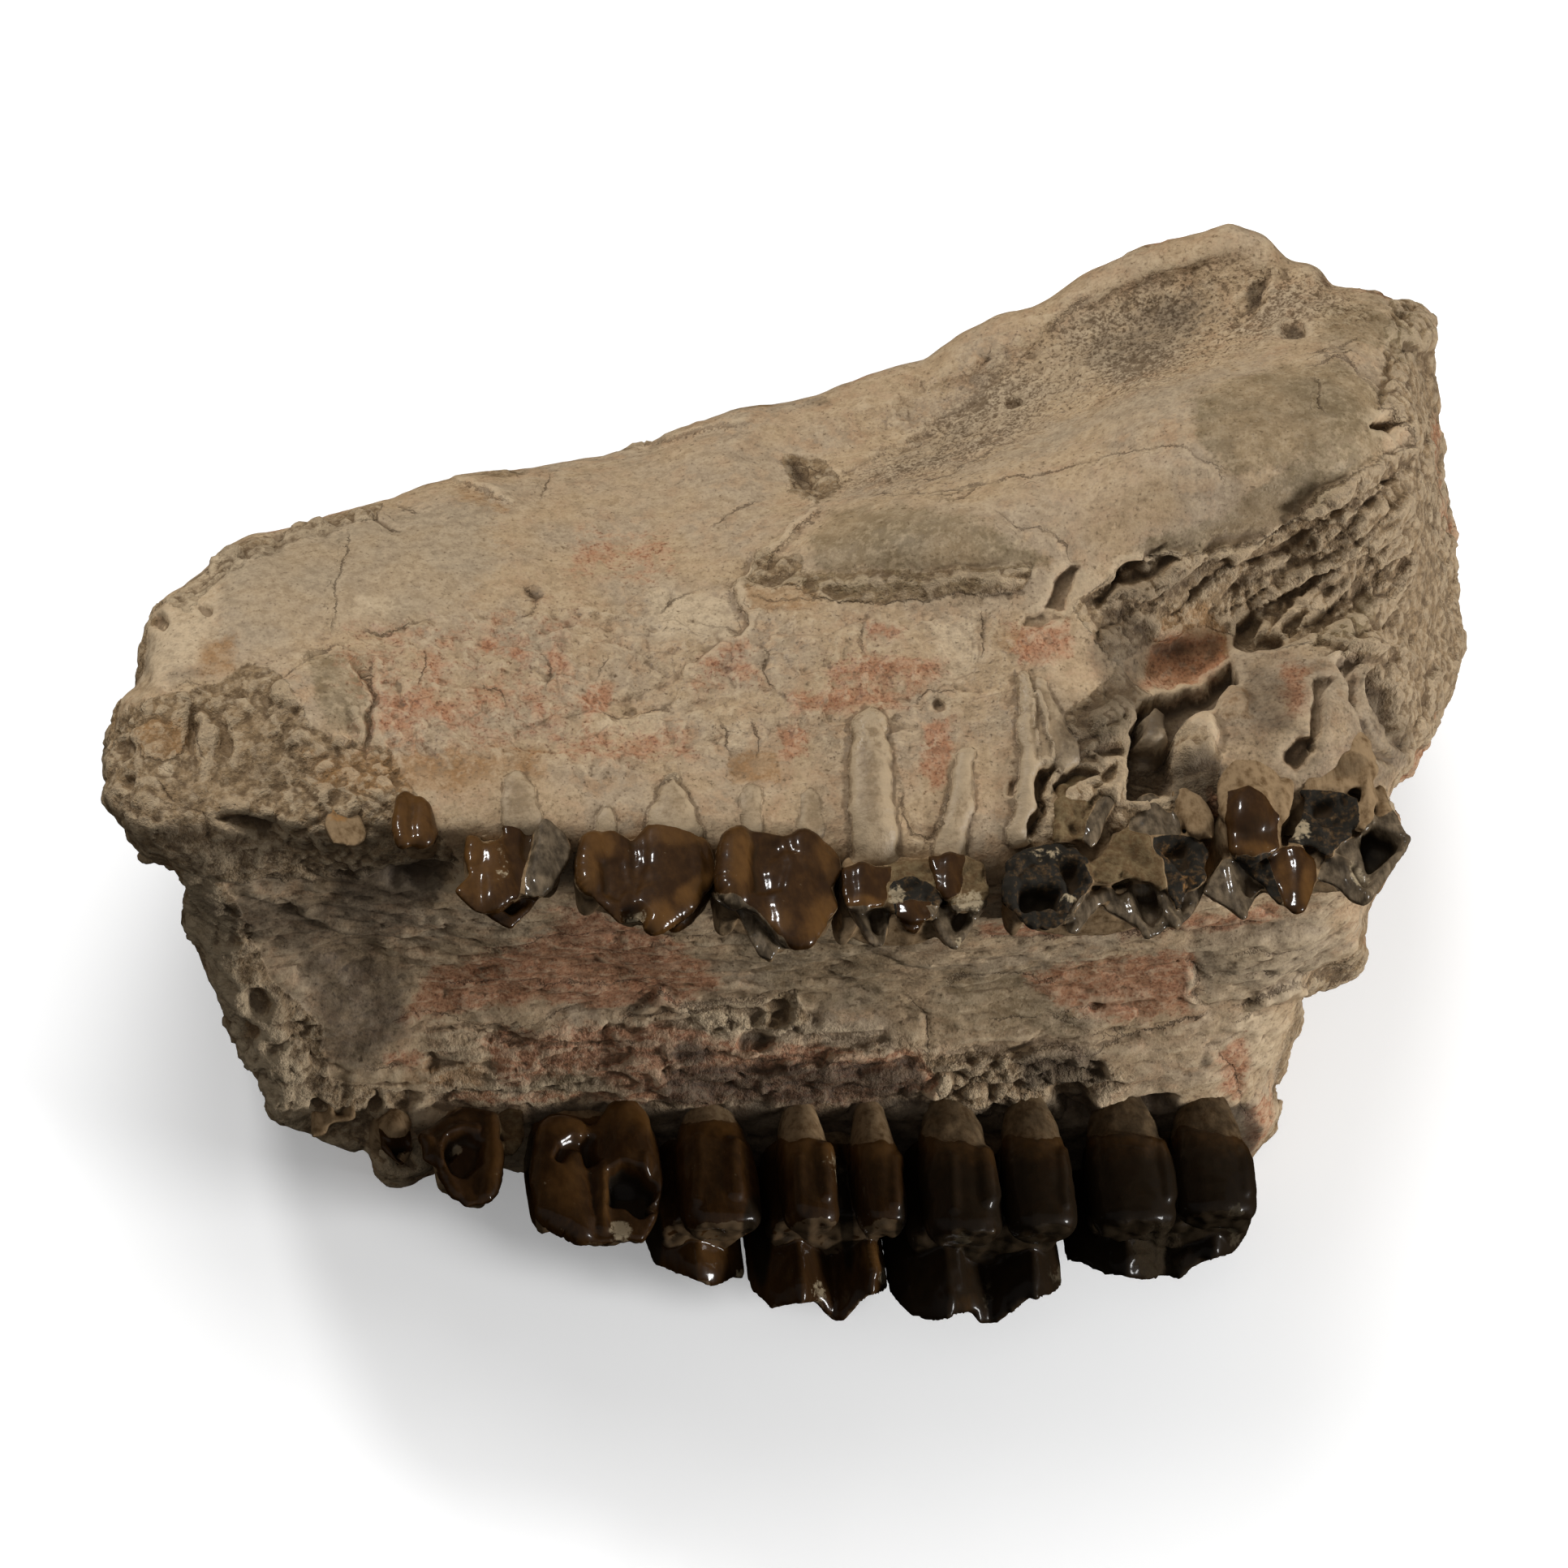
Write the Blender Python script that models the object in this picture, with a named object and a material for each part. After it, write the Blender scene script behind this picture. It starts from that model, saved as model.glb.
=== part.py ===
"""Front half of a fossil oreodont skull, lying on its right side, with its upper teeth.

The skull is drawn squarely, in millimetres: x runs back along the jaw, y up towards the
roof of the skull, and z out from its left side. One empty then turns it to lie at rest.
The skull with its rock is one solid, and each tooth is another, standing on the jaw.
"""

import math

import bmesh
import bpy
import numpy as np
from mathutils import Matrix, Vector

MM = 0.001

# The skull's own directions, as it is drawn: back along the jaw, out to the left, down to the bite.
BACK = Vector((0.979, 0.0, -0.205))
LEFT = Vector((0.17, 0.56, 0.81))
BITE = Vector((0.115, -0.828, 0.548))

# The turns that lay the drawn skull on its right side, the level of its flat base there, and
# the point of that level that is under the middle of its box.
YAW_DEG = -11.8
ROLL_DEG = 24.1
BASE_LEVEL = -46.0
BASE_MIDDLE = (2.45, 8.8)
LAID = Matrix.Rotation(math.radians(ROLL_DEG), 3, "X") @ Matrix.Rotation(math.radians(YAW_DEG), 3, "Y")

# Lines of the skull, each a smooth curve through a few points (x, y, z). They run in this order
# round a section: over the left side, across the palate, and back under the hidden right side.
ROOF_EDGE = ((-68.3, 3.5, 12), (-66.5, 9.5, 6), (-62, 18.6, 0), (-58, 22, -5), (-50, 26, -11),
             (-40, 29, -16), (-28, 32, -21), (-14, 34.2, -25), (0, 38.8, -28), (12, 42.3, -30),
             (26, 49, -31), (36, 53.6, -30), (44, 55.7, -28), (50, 54, -27), (54, 51.4, -26),
             (60, 50, -26), (63.5, 48.7, -30), (66, 46.4, -34), (66.7, 38, -37), (67.4, 30, -39),
             (68.3, 21, -40))
BROW = ((-68.3, 3, 15), (-66, 8, 13), (-58, 17.5, 7), (-45, 21.5, 2), (-28, 25, -5), (-14, 26.5, -9),
        (0, 30.5, -12), (12, 35, -17), (26, 41, -18), (38, 45.5, -17), (50, 45, -14), (60, 42, -12),
        (64.5, 40, -18), (67, 32, -32), (68.3, 20, -36))
CHEEK = ((-68.3, 1.5, 17), (-65, 5, 19), (-58, 10, 15), (-45, 12.5, 13), (-28, 14, 9), (-14, 15, 6.5),
         (0, 19, 4), (14, 25.5, 3), (28, 30, 1), (40, 33.5, 2), (50, 33, 2), (60, 31, 0),
         (64.5, 29, -8), (67, 24, -24), (68.3, 18.5, -33))
LOWER_CHEEK = ((-68.3, 0, 18), (-65, 1, 22), (-58, 1.5, 21), (-45, 3, 20), (-28, 3.5, 18), (-14, 3.5, 16),
               (0, 5, 14), (14, 8, 11), (28, 14, 8), (40, 17, 5), (50, 17, 2), (58, 17, -1),
               (63, 17, -8), (66.5, 16, -22), (68.3, 16.5, -30))
LEFT_GUM = ((-68.3, -1.5, 17.5), (-65, -4, 22), (-58, -5, 23.5), (-48, -5, 23.5), (-36, -5, 23),
            (-20, -5.5, 21.5), (-6, -6, 20), (6, -6.5, 18.5), (16, -7, 17.5), (26, -5.5, 15),
            (38, -3, 12), (48, 0, 9), (58, 2.5, 5), (62, 3.5, -2), (66, 7.5, -16), (68.3, 14, -26))
LEFT_PALATE = ((-68.3, -2.5, 15), (-65, -6, 15), (-60, -9.6, 15), (-48, -11, 13), (-36, -12.5, 10.5),
               (-20, -13.5, 8.5), (-6, -14, 7.5), (6, -14.5, 6.5), (16, -14.5, 5.5), (26, -13.5, 4),
               (38, -12, 1), (48, -10, -2), (58, -9, -6), (61.5, -5, -10), (65, 3, -18), (68.3, 12.5, -26))
MID_PALATE = ((-68.3, -2.5, 13), (-65, -6.5, 9), (-61, -11, 7), (-57, -15, 4), (-48, -19, -1), (-36, -20.5, -5),
              (-20, -20.5, -7), (0, -20.5, -9), (16, -20.5, -10.5), (32, -20, -12.5), (46, -19.5, -15),
              (54, -17.5, -18), (58.3, -15, -20), (61, -8, -22), (65, 2.5, -26), (68.3, 12, -28))
RIGHT_PALATE = ((-68.3, -2.5, 11), (-65, -6.3, 3), (-61, -12, 1), (-57, -21, -3), (-52, -29, -8),
                (-46, -32, -11), (-36, -33, -13), (-20, -33, -15), (0, -32.5, -17), (16, -32.5, -19),
                (32, -32, -22), (45, -31.5, -26), (50, -28, -28), (54, -20, -29), (58, -16, -30),
                (61, -7, -31), (65, 3, -32), (68.3, 12, -33))
RIGHT_GUM = ((-68.3, -2, 9), (-65, -6, -3), (-61, -12.6, -7), (-58, -20, -10), (-54, -28.6, -14),
             (-49, -35, -17),
             (-42, -37.2, -20), (-34, -39, -22), (-20, -40, -26), (0, -40.5, -30), (16, -41, -33.5),
             (32, -41, -38), (44, -40.3, -42), (48, -39, -43), (50.6, -30, -43), (54, -20.8, -43),
             (57.6, -18.4, -42), (60, -10.6, -42), (63, -4.8, -41), (66, 5, -40), (68.3, 13, -37))
BASE_OUTER = ((-68.3, 0, 7), (-65, -4, -8), (-60, -8, -16), (-54, -18, -24), (-44, -27, -32), (-28, -31, -38),
              (0, -31, -41), (24, -31, -46), (42, -30, -50), (50, -22, -53), (57, -10, -56), (62, 0, -54),
              (65, 7, -48), (68.3, 15, -39))
BASE_INNER = ((-68.3, 1.5, 6), (-65, 0, -10), (-60, 0, -22), (-50, -2, -36), (-36, -4, -48), (0, -4, -54),
              (28, -4, -59), (44, -2, -63), (54, 2, -64), (61, 8, -60), (65, 14, -52), (68.3, 17, -41))
RIGHT_ROOF = ((-68.3, 2.5, 7), (-65, 5, -10), (-60, 8, -24), (-50, 11, -36), (-36, 14, -44), (-14, 18, -50),
              (0, 20, -54), (20, 24, -60), (40, 27, -68), (52, 28, -68), (61, 26, -62), (65, 24, -54),
              (68.3, 19.5, -42))
MID_ROOF = ((-68.3, 3.5, 9), (-66, 8.5, -4), (-61, 17, -13), (-50, 22, -25), (-36, 25, -32), (-14, 28.5, -39),
            (0, 32, -43), (20, 39, -48), (40, 46, -50), (50, 46, -50), (60, 42, -48), (64.5, 38, -46),
            (67, 28, -44), (68.3, 20.5, -41))
LINES = (ROOF_EDGE, BROW, CHEEK, LOWER_CHEEK, LEFT_GUM, LEFT_PALATE, MID_PALATE, RIGHT_PALATE,
         RIGHT_GUM, BASE_OUTER, BASE_INNER, RIGHT_ROOF, MID_ROOF)
POINTS_PER_SPAN = (5, 5, 5, 4, 3, 3, 4, 3, 3, 3, 3, 3, 3)
SECTIONS = 54

# Hollows and swellings of the left side and the palate, as they stand out along z:
# where they are (x, y), half length, half width, turn in degrees, and height. They fade out
# where the surface turns away from z, and are whole where its normal's z is FACING_FULLY.
FACING_FULLY = 0.3
RELIEF = {
    "eye socket": ((27, 41.5), 25, 4.6, 24, -3.4),
    "eye socket, back": ((42, 48.5), 12, 4.5, 8, -2.4),
    "tear pit": ((2, 32), 4.5, 3.6, 0, -2.0),
    "cheek swelling": ((13, 25.5), 13, 4.5, -3, 2.2),
    "cheek arch": ((47, 36.5), 16, 6.5, 22, 2.6),
    "hollow under the cheek": ((12, 19), 11, 3.2, 0, -1.6),
    "broken back of the cheek": ((46, 17), 15, 8, 24, -3.8),
    "pit in the cheek": ((40, 11), 7, 5, 35, -2.6),
    "nerve opening": ((-14.5, 10.8), 4.5, 3.5, 0, -1.0),
    "canine swelling": ((-48, 9), 6, 5, 20, 1.6),
    "break at the snout": ((-62, 3), 5, 5.5, 0, -1.4),
    "hollow behind the canine": ((-51, -7.5), 7, 3, -8, -2.0),
    "front of the palate": ((-45, -16), 13, 5, -16, -2.8),
    "ridge beside the right teeth": ((-2, -28.5), 26, 3, 0, 1.6),
    "middle seam": ((-2, -24.5), 26, 2, -4, -0.8),
    "back of the palate": ((51, -16.5), 8, 4, 12, 1.4),
    "ledge over the teeth": ((52, 8), 5, 5, -60, 1.2),
}

# Teeth. Each is drawn in its own place, in millimetres: x runs back along the jaw, y out to
# the cheek and z to the bite, with its neck at z = 0. Each row of the tables below holds where
# the neck meets the bone on the side that is turned to the left (the cheek side of a left
# tooth, the tongue side of a right one), then the tooth's length along the jaw, its width,
# its height on the cheek side and on the tongue side, and how many lobes its crown has.
LEFT_TEETH = {
    "left_canine": ((-44.2, -3.6, 23.2), 4.8, 5.0, 5.0, 3.5, 1),
    "left_premolar_1": ((-36.0, -3.4, 23.0), 5.2, 6.0, 6.4, 4.0, 1),
    "left_premolar_2": ((-27.0, -4.2, 22.4), 9.8, 8.5, 11.0, 6.0, 1),
    "left_premolar_3": ((-13.9, -4.6, 21.4), 13.8, 9.5, 11.2, 5.5, 1),
    "left_premolar_4": ((-0.7, -5.0, 20.2), 12.4, 11.0, 13.0, 6.5, 1),
    "left_molar_1": ((12.4, -6.0, 18.6), 13.4, 14.0, 10.0, 4.5, 2),
    "left_molar_2": ((31.7, -4.4, 14.2), 17.4, 15.0, 10.0, 4.5, 2),
    "left_molar_3": ((52.6, 0.8, 7.2), 19.2, 14.0, 12.6, 7.5, 2),
}
RIGHT_TEETH = {
    "right_canine": ((-45.8, -32.2, -11.2), 3.6, 5.0, 2.0, 4.0, 1),
    "right_premolar_1": ((-40.4, -32.6, -12.0), 4.4, 6.5, 3.4, 5.5, 1),
    "right_premolar_2": ((-32.6, -32.4, -12.7), 7.4, 8.5, 7.4, 9.0, 1),
    "right_premolar_3": ((-19.4, -32.2, -14.6), 12.2, 12.0, 9.6, 10.0, 1),
    "right_premolar_4": ((-8.1, -32.0, -15.8), 10.6, 14.5, 13.4, 12.0, 1),
    "right_molar_1": ((4.6, -31.8, -17.0), 14.2, 15.4, 16.6, 13.0, 2),
    "right_molar_2": ((20.7, -31.6, -19.2), 18.0, 16.0, 17.4, 13.4, 2),
    "right_molar_3": ((39.6, -31.2, -23.8), 19.4, 15.5, 13.2, 12.4, 2),
}
TOOTH_GAP = 0.3
ROOT_DEPTH = 5.0
ROOT_FULLNESS = 0.7
CHEEK_CORNERS = 0.55
TONGUE_CORNERS = 0.75
CHEEK_WALL = 0.9
CHEEK_RIBS = 0.12
TONGUE_NOTCH = 0.3
TONGUE_NOTCH_WIDTH = 0.2
# The rings of a tooth from its root up over its crown: height, as a share of the crown's, and
# fullness, as a share of the crown's girth.
TOOTH_RINGS = ((0.0, 0.92), (0.3, 0.97), (0.62, 1.0), (0.88, 0.96), (1.0, 0.88), (0.76, 0.42))


def line_at(points, at):
    """The y and z of a line of the skull at the given x, on a cubic through its points."""
    pts = np.array(points, float)
    x, yz = pts[:, 0], pts[:, 1:]
    slopes = np.gradient(yz, x, axis=0)
    i = int(np.clip(np.searchsorted(x, at) - 1, 0, len(x) - 2))
    step = x[i + 1] - x[i]
    t = (at - x[i]) / step
    near, far = yz[i], yz[i + 1]
    return ((2 * t**3 - 3 * t**2 + 1) * near + (t**3 - 2 * t**2 + t) * step * slopes[i]
            + (3 * t**2 - 2 * t**3) * far + (t**3 - t**2) * step * slopes[i + 1])


def section(at):
    """One closed section across the skull: a smooth loop through the lines, at that x."""
    knots = np.array([line_at(line, at) for line in LINES])
    loop = []
    for i, count in enumerate(POINTS_PER_SPAN):
        before, start, end, after = (knots[(i + k) % len(knots)] for k in (-1, 0, 1, 2))
        for t in np.arange(count) / count:
            bend = (2 * start + (end - before) * t + (2 * before - 5 * start + 4 * end - after) * t**2
                    + (3 * start - before - 3 * end + after) * t**3) / 2
            loop.append(Vector((at, *bend)))
    return loop


def relief(x, y):
    """How far the left side and palate stand out at (x, y), in millimetres."""
    total = 0.0
    for (cx, cy), length, width, turn, height in RELIEF.values():
        cos, sin = math.cos(math.radians(turn)), math.sin(math.radians(turn))
        along = ((x - cx) * cos + (y - cy) * sin) / length
        across = ((y - cy) * cos - (x - cx) * sin) / width
        total += height * math.exp(-(along**2 + across**2) ** 1.5)
    return total


def loft_skull():
    """The skull's mesh, in drawn millimetres: sections joined end to end, then cut flat at its base."""
    half_length = LINES[0][-1][0]
    bm = bmesh.new()
    rings = []
    for k in range(SECTIONS):
        even = 2 * k / (SECTIONS - 1) - 1
        closer_at_ends = math.sin(even * math.pi / 2)
        at = half_length * (0.45 * even + 0.55 * closer_at_ends)
        rings.append([bm.verts.new(point) for point in section(at)])
    for ring, following in zip(rings, rings[1:]):
        for k in range(len(ring)):
            nxt = (k + 1) % len(ring)
            bm.faces.new((ring[k], ring[nxt], following[nxt], following[k]))
    bm.faces.new(rings[0])
    bm.faces.new(reversed(rings[-1]))
    bmesh.ops.recalc_face_normals(bm, faces=bm.faces)
    bm.normal_update()
    for vert in bm.verts:
        facing = max(0.0, min(1.0, vert.normal.z / FACING_FULLY))
        vert.co.z += facing * relief(vert.co.x, vert.co.y)
    up = LAID.transposed() @ Vector((0, 0, 1))
    cut = bmesh.ops.bisect_plane(bm, geom=bm.verts[:] + bm.edges[:] + bm.faces[:], dist=0.01,
                                 plane_co=up * BASE_LEVEL, plane_no=up, clear_inner=True)
    rim = [item for item in cut["geom_cut"] if isinstance(item, bmesh.types.BMEdge)]
    bmesh.ops.holes_fill(bm, edges=rim)
    bmesh.ops.triangulate(bm, faces=bm.faces, quad_method="BEAUTY", ngon_method="BEAUTY")
    bmesh.ops.recalc_face_normals(bm, faces=bm.faces)
    return bm


def material(name, colour, roughness):
    """A plain material of one colour."""
    made = bpy.data.materials.new(name)
    made.use_nodes = True
    shader = made.node_tree.nodes["Principled BSDF"]
    shader.inputs["Base Color"].default_value = (*colour, 1)
    shader.inputs["Roughness"].default_value = roughness
    shader.inputs["Metallic"].default_value = 0
    return made


def place(name, bm, collection, laid, finish):
    """A named object of the mesh, in metres, laid down with the rest of the skull."""
    bmesh.ops.scale(bm, vec=(MM, MM, MM), verts=bm.verts)
    mesh = bpy.data.meshes.new(name)
    bm.to_mesh(mesh)
    bm.free()
    mesh.shade_smooth()
    mesh.set_sharp_from_angle(angle=math.radians(40))
    mesh.materials.append(finish)
    made = bpy.data.objects.new(name, mesh)
    collection.objects.link(made)
    made.parent = laid
    return made


def tooth(length, width, cheek_height, tongue_height, lobes):
    """The mesh of one tooth: lobed rings from the root to the worn rim, and the hollow inside it."""
    around = 20 if lobes == 2 else 16
    bm = bmesh.new()
    rings = []
    for share, fullness in (None, ROOT_FULLNESS), *TOOTH_RINGS:
        ring = []
        for k in range(around):
            cos, sin = math.cos(math.tau * k / around), math.sin(math.tau * k / around)
            corners = CHEEK_CORNERS if sin > 0 else TONGUE_CORNERS
            x = math.copysign(abs(cos) ** corners, cos)
            y = math.copysign(abs(sin) ** corners, sin)
            outward = 1.0
            if y > 0:
                outward = CHEEK_WALL + CHEEK_RIBS * math.cos(math.tau * x)
            elif lobes == 2:
                outward -= TONGUE_NOTCH * math.exp(-((x / TONGUE_NOTCH_WIDTH) ** 2))
            height = tongue_height + (cheek_height - tongue_height) * (1 + y) / 2
            z = -ROOT_DEPTH if share is None else share * height
            ring.append(bm.verts.new((x * fullness * length / 2, y * outward * fullness * width / 2, z)))
        rings.append(ring)
    for ring, following in zip(rings, rings[1:]):
        for k in range(around):
            nxt = (k + 1) % around
            bm.faces.new((ring[k], ring[nxt], following[nxt], following[k]))
    bm.faces.new(reversed(rings[0]))
    bm.faces.new(rings[-1])
    bmesh.ops.triangulate(bm, faces=bm.faces)
    bmesh.ops.recalc_face_normals(bm, faces=bm.faces)
    return bm


def stand_on_jaw(bm, neck, width, cheek_out):
    """Turn a tooth from its own place to the drawn skull: cheek_out is 1 on the left and -1 on the right."""
    middle = Vector(neck) - LEFT * (width / 2)
    own = Matrix((BACK, LEFT * cheek_out, BITE)).transposed().to_4x4()
    own.translation = middle
    bmesh.ops.transform(bm, matrix=own, verts=bm.verts)
    bmesh.ops.recalc_face_normals(bm, faces=bm.faces)


def largest_piece(mesh):
    """Keep only the largest loose piece of a mesh."""
    bm = bmesh.new()
    bm.from_mesh(mesh)
    waiting = set(bm.verts)
    pieces = []
    while waiting:
        front = [waiting.pop()]
        piece = set(front)
        while front:
            for edge in front.pop().link_edges:
                for vert in edge.verts:
                    if vert in waiting:
                        waiting.remove(vert)
                        piece.add(vert)
                        front.append(vert)
        pieces.append(piece)
    pieces.sort(key=len)
    for piece in pieces[:-1]:
        bmesh.ops.delete(bm, geom=list(piece), context="VERTS")
    bm.to_mesh(mesh)
    bm.free()


def main():
    for old in list(bpy.data.objects):
        bpy.data.objects.remove(old)
    parts = bpy.data.collections.new("oreodont_skull")
    cutters = bpy.data.collections.new("cutters")
    bpy.context.scene.collection.children.link(parts)
    bpy.context.scene.collection.children.link(cutters)
    laid = bpy.data.objects.new("laid_down", None)
    parts.objects.link(laid)
    laid.rotation_mode = "QUATERNION"
    laid.rotation_quaternion = LAID.to_quaternion()
    laid.location = Vector((-BASE_MIDDLE[0], -BASE_MIDDLE[1], -BASE_LEVEL)) * MM
    bone = material("bone", (0.62, 0.53, 0.42), 0.62)
    enamel = material("enamel", (0.2, 0.11, 0.05), 0.25)

    skull = loft_skull()
    clear_of_skull = skull.copy()
    clear_of_skull.normal_update()
    for vert in clear_of_skull.verts:
        vert.co += vert.normal * TOOTH_GAP
    place("skull", skull, parts, laid, bone)
    cutter = place("skull_with_gap", clear_of_skull, cutters, laid, bone)
    cutter.hide_render = True
    cutter.display_type = "WIRE"

    for teeth, cheek_out in ((LEFT_TEETH, 1), (RIGHT_TEETH, -1)):
        for name, (neck, length, width, cheek_height, tongue_height, lobes) in teeth.items():
            bm = tooth(length, width, cheek_height, tongue_height, lobes)
            stand_on_jaw(bm, neck, width, cheek_out)
            made = place(name, bm, parts, laid, enamel)
            cut = made.modifiers.new("stand_on_bone", "BOOLEAN")
            cut.object = cutter
            cut.operation = "DIFFERENCE"
            graph = bpy.context.evaluated_depsgraph_get()
            standing = bpy.data.meshes.new_from_object(made.evaluated_get(graph))
            made.modifiers.remove(cut)
            largest_piece(standing)
            made.data = standing


main()
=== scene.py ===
import math

import bmesh
import bpy
import numpy as np
from mathutils import Matrix, Vector


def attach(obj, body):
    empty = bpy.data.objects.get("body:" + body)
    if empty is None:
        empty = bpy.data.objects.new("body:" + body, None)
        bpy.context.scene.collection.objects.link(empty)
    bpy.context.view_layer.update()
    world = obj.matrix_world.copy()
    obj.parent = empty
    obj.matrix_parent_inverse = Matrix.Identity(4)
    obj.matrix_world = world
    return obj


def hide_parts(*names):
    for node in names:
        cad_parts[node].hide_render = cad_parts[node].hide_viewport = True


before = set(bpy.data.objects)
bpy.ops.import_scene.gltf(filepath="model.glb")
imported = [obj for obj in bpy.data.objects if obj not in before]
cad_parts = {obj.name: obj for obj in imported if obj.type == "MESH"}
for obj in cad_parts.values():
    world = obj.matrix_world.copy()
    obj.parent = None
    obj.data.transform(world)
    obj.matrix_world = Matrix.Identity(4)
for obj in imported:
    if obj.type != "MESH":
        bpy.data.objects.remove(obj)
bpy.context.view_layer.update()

# The studio
# A white sweep of paper with the skull lying on it, seen from above its left side.
# The skull is drawn squarely to that view in millimetres (x back along the jaw, y up to the
# roof, z out to the camera), and LAID turns it to how it lies in the world.

MM = 0.001
LAID = Matrix.Rotation(math.radians(24.1), 3, "X") @ Matrix.Rotation(math.radians(-11.8), 3, "Y")
UNDER_IT = Vector((2.45, 8.8, -46.0))
VIEW_WIDTH = 158.36
CAMERA_REACH = 4000.0


def laid(drawn):
    """A drawn place, as a place in the world, in metres."""
    return (LAID @ Vector(drawn) - UNDER_IT) * MM


camera_data = bpy.data.cameras.new("camera")
camera_data.sensor_width = 36
camera_data.lens = 36 * CAMERA_REACH / VIEW_WIDTH
camera = bpy.data.objects.new("camera", camera_data)
camera.matrix_world = Matrix.Translation(laid((0, 0, CAMERA_REACH))) @ LAID.to_4x4()
bpy.context.scene.collection.objects.link(camera)
bpy.context.scene.camera = camera
bpy.context.scene.view_settings.view_transform = "Standard"

# Each light: where it stands from the skull, as drawn, how far off, its size and its power.
LIGHTS = {
    "key": ((-0.40, 0.82, 0.42), 1000, 120, 3.5),
    "wide_key": ((-0.04, 0.86, 0.50), 1000, 560, 5.9),
    "from_the_right": ((0.94, -0.26, 0.22), 420, 110, 1.6),
    "front": ((-0.25, 0.1, 0.95), 1200, 700, 0.44),
    "from_the_left": ((-0.95, -0.16, 0.26), 1000, 300, 1.3),
}
for name, (direction, reach, size, power) in LIGHTS.items():
    lamp = bpy.data.lights.new(name, "AREA")
    lamp.shape = "DISK"
    lamp.size = size * MM
    lamp.energy = power
    stand = bpy.data.objects.new(name, lamp)
    stand.location = laid(Vector(direction).normalized() * reach)
    stand.visible_glossy = name in ("key", "from_the_right")
    stand.rotation_euler = (laid((0, 0, 0)) - stand.location).to_track_quat("-Z", "Y").to_euler()
    bpy.context.scene.collection.objects.link(stand)
world = bpy.data.worlds.new("soft_room")
world.use_nodes = True
sky = world.node_tree.nodes
sky_way = sky.new("ShaderNodeTexCoord")
sky_split = sky.new("ShaderNodeSeparateXYZ")
sky_above = sky.new("ShaderNodeMapRange")
sky_above.inputs["From Min"].default_value = -0.1
sky_above.inputs["From Max"].default_value = 0.5
sky_above.inputs["To Max"].default_value = 0.2
world.node_tree.links.new(sky_way.outputs["Generated"], sky_split.inputs[0])
world.node_tree.links.new(sky_split.outputs["Z"], sky_above.inputs["Value"])
world.node_tree.links.new(sky_above.outputs[0], sky["Background"].inputs["Strength"])
sky["Background"].inputs["Color"].default_value = (1, 1, 1, 1)
bpy.context.scene.world = world

PAPER_SIDE = 12.0
paper_mesh = bmesh.new()
bmesh.ops.create_grid(paper_mesh, x_segments=1, y_segments=1, size=PAPER_SIDE / 2)
paper_data = bpy.data.meshes.new("paper")
paper_mesh.to_mesh(paper_data)
paper_mesh.free()
paper = bpy.data.objects.new("paper", paper_data)
bpy.context.scene.collection.objects.link(paper)
paper.visible_diffuse = False
paper.visible_glossy = False


class Wire:
    """One output of a shader node. Arithmetic on it adds Math nodes."""

    def __init__(self, finish, socket):
        self.finish = finish
        self.socket = socket

    def maths(self, operation, first, second):
        return self.finish.node("ShaderNodeMath", {"operation": operation}, {0: first, 1: second})

    def __add__(self, other):
        return self.maths("ADD", self, other)

    def __radd__(self, other):
        return self.maths("ADD", other, self)

    def __sub__(self, other):
        return self.maths("SUBTRACT", self, other)

    def __rsub__(self, other):
        return self.maths("SUBTRACT", other, self)

    def __mul__(self, other):
        return self.maths("MULTIPLY", self, other)

    def __rmul__(self, other):
        return self.maths("MULTIPLY", other, self)

    def __truediv__(self, other):
        return self.maths("DIVIDE", self, other)

    def __pow__(self, other):
        return self.maths("POWER", self, other)

    def most(self, other):
        return self.maths("MAXIMUM", self, other)

    def between(self, low, high):
        """0 up to low and 1 from high on, with a soft step in between."""
        return self.finish.node("ShaderNodeMapRange", {"interpolation_type": "SMOOTHSTEP"},
                                {"Value": self, "From Min": low, "From Max": high})


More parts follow.
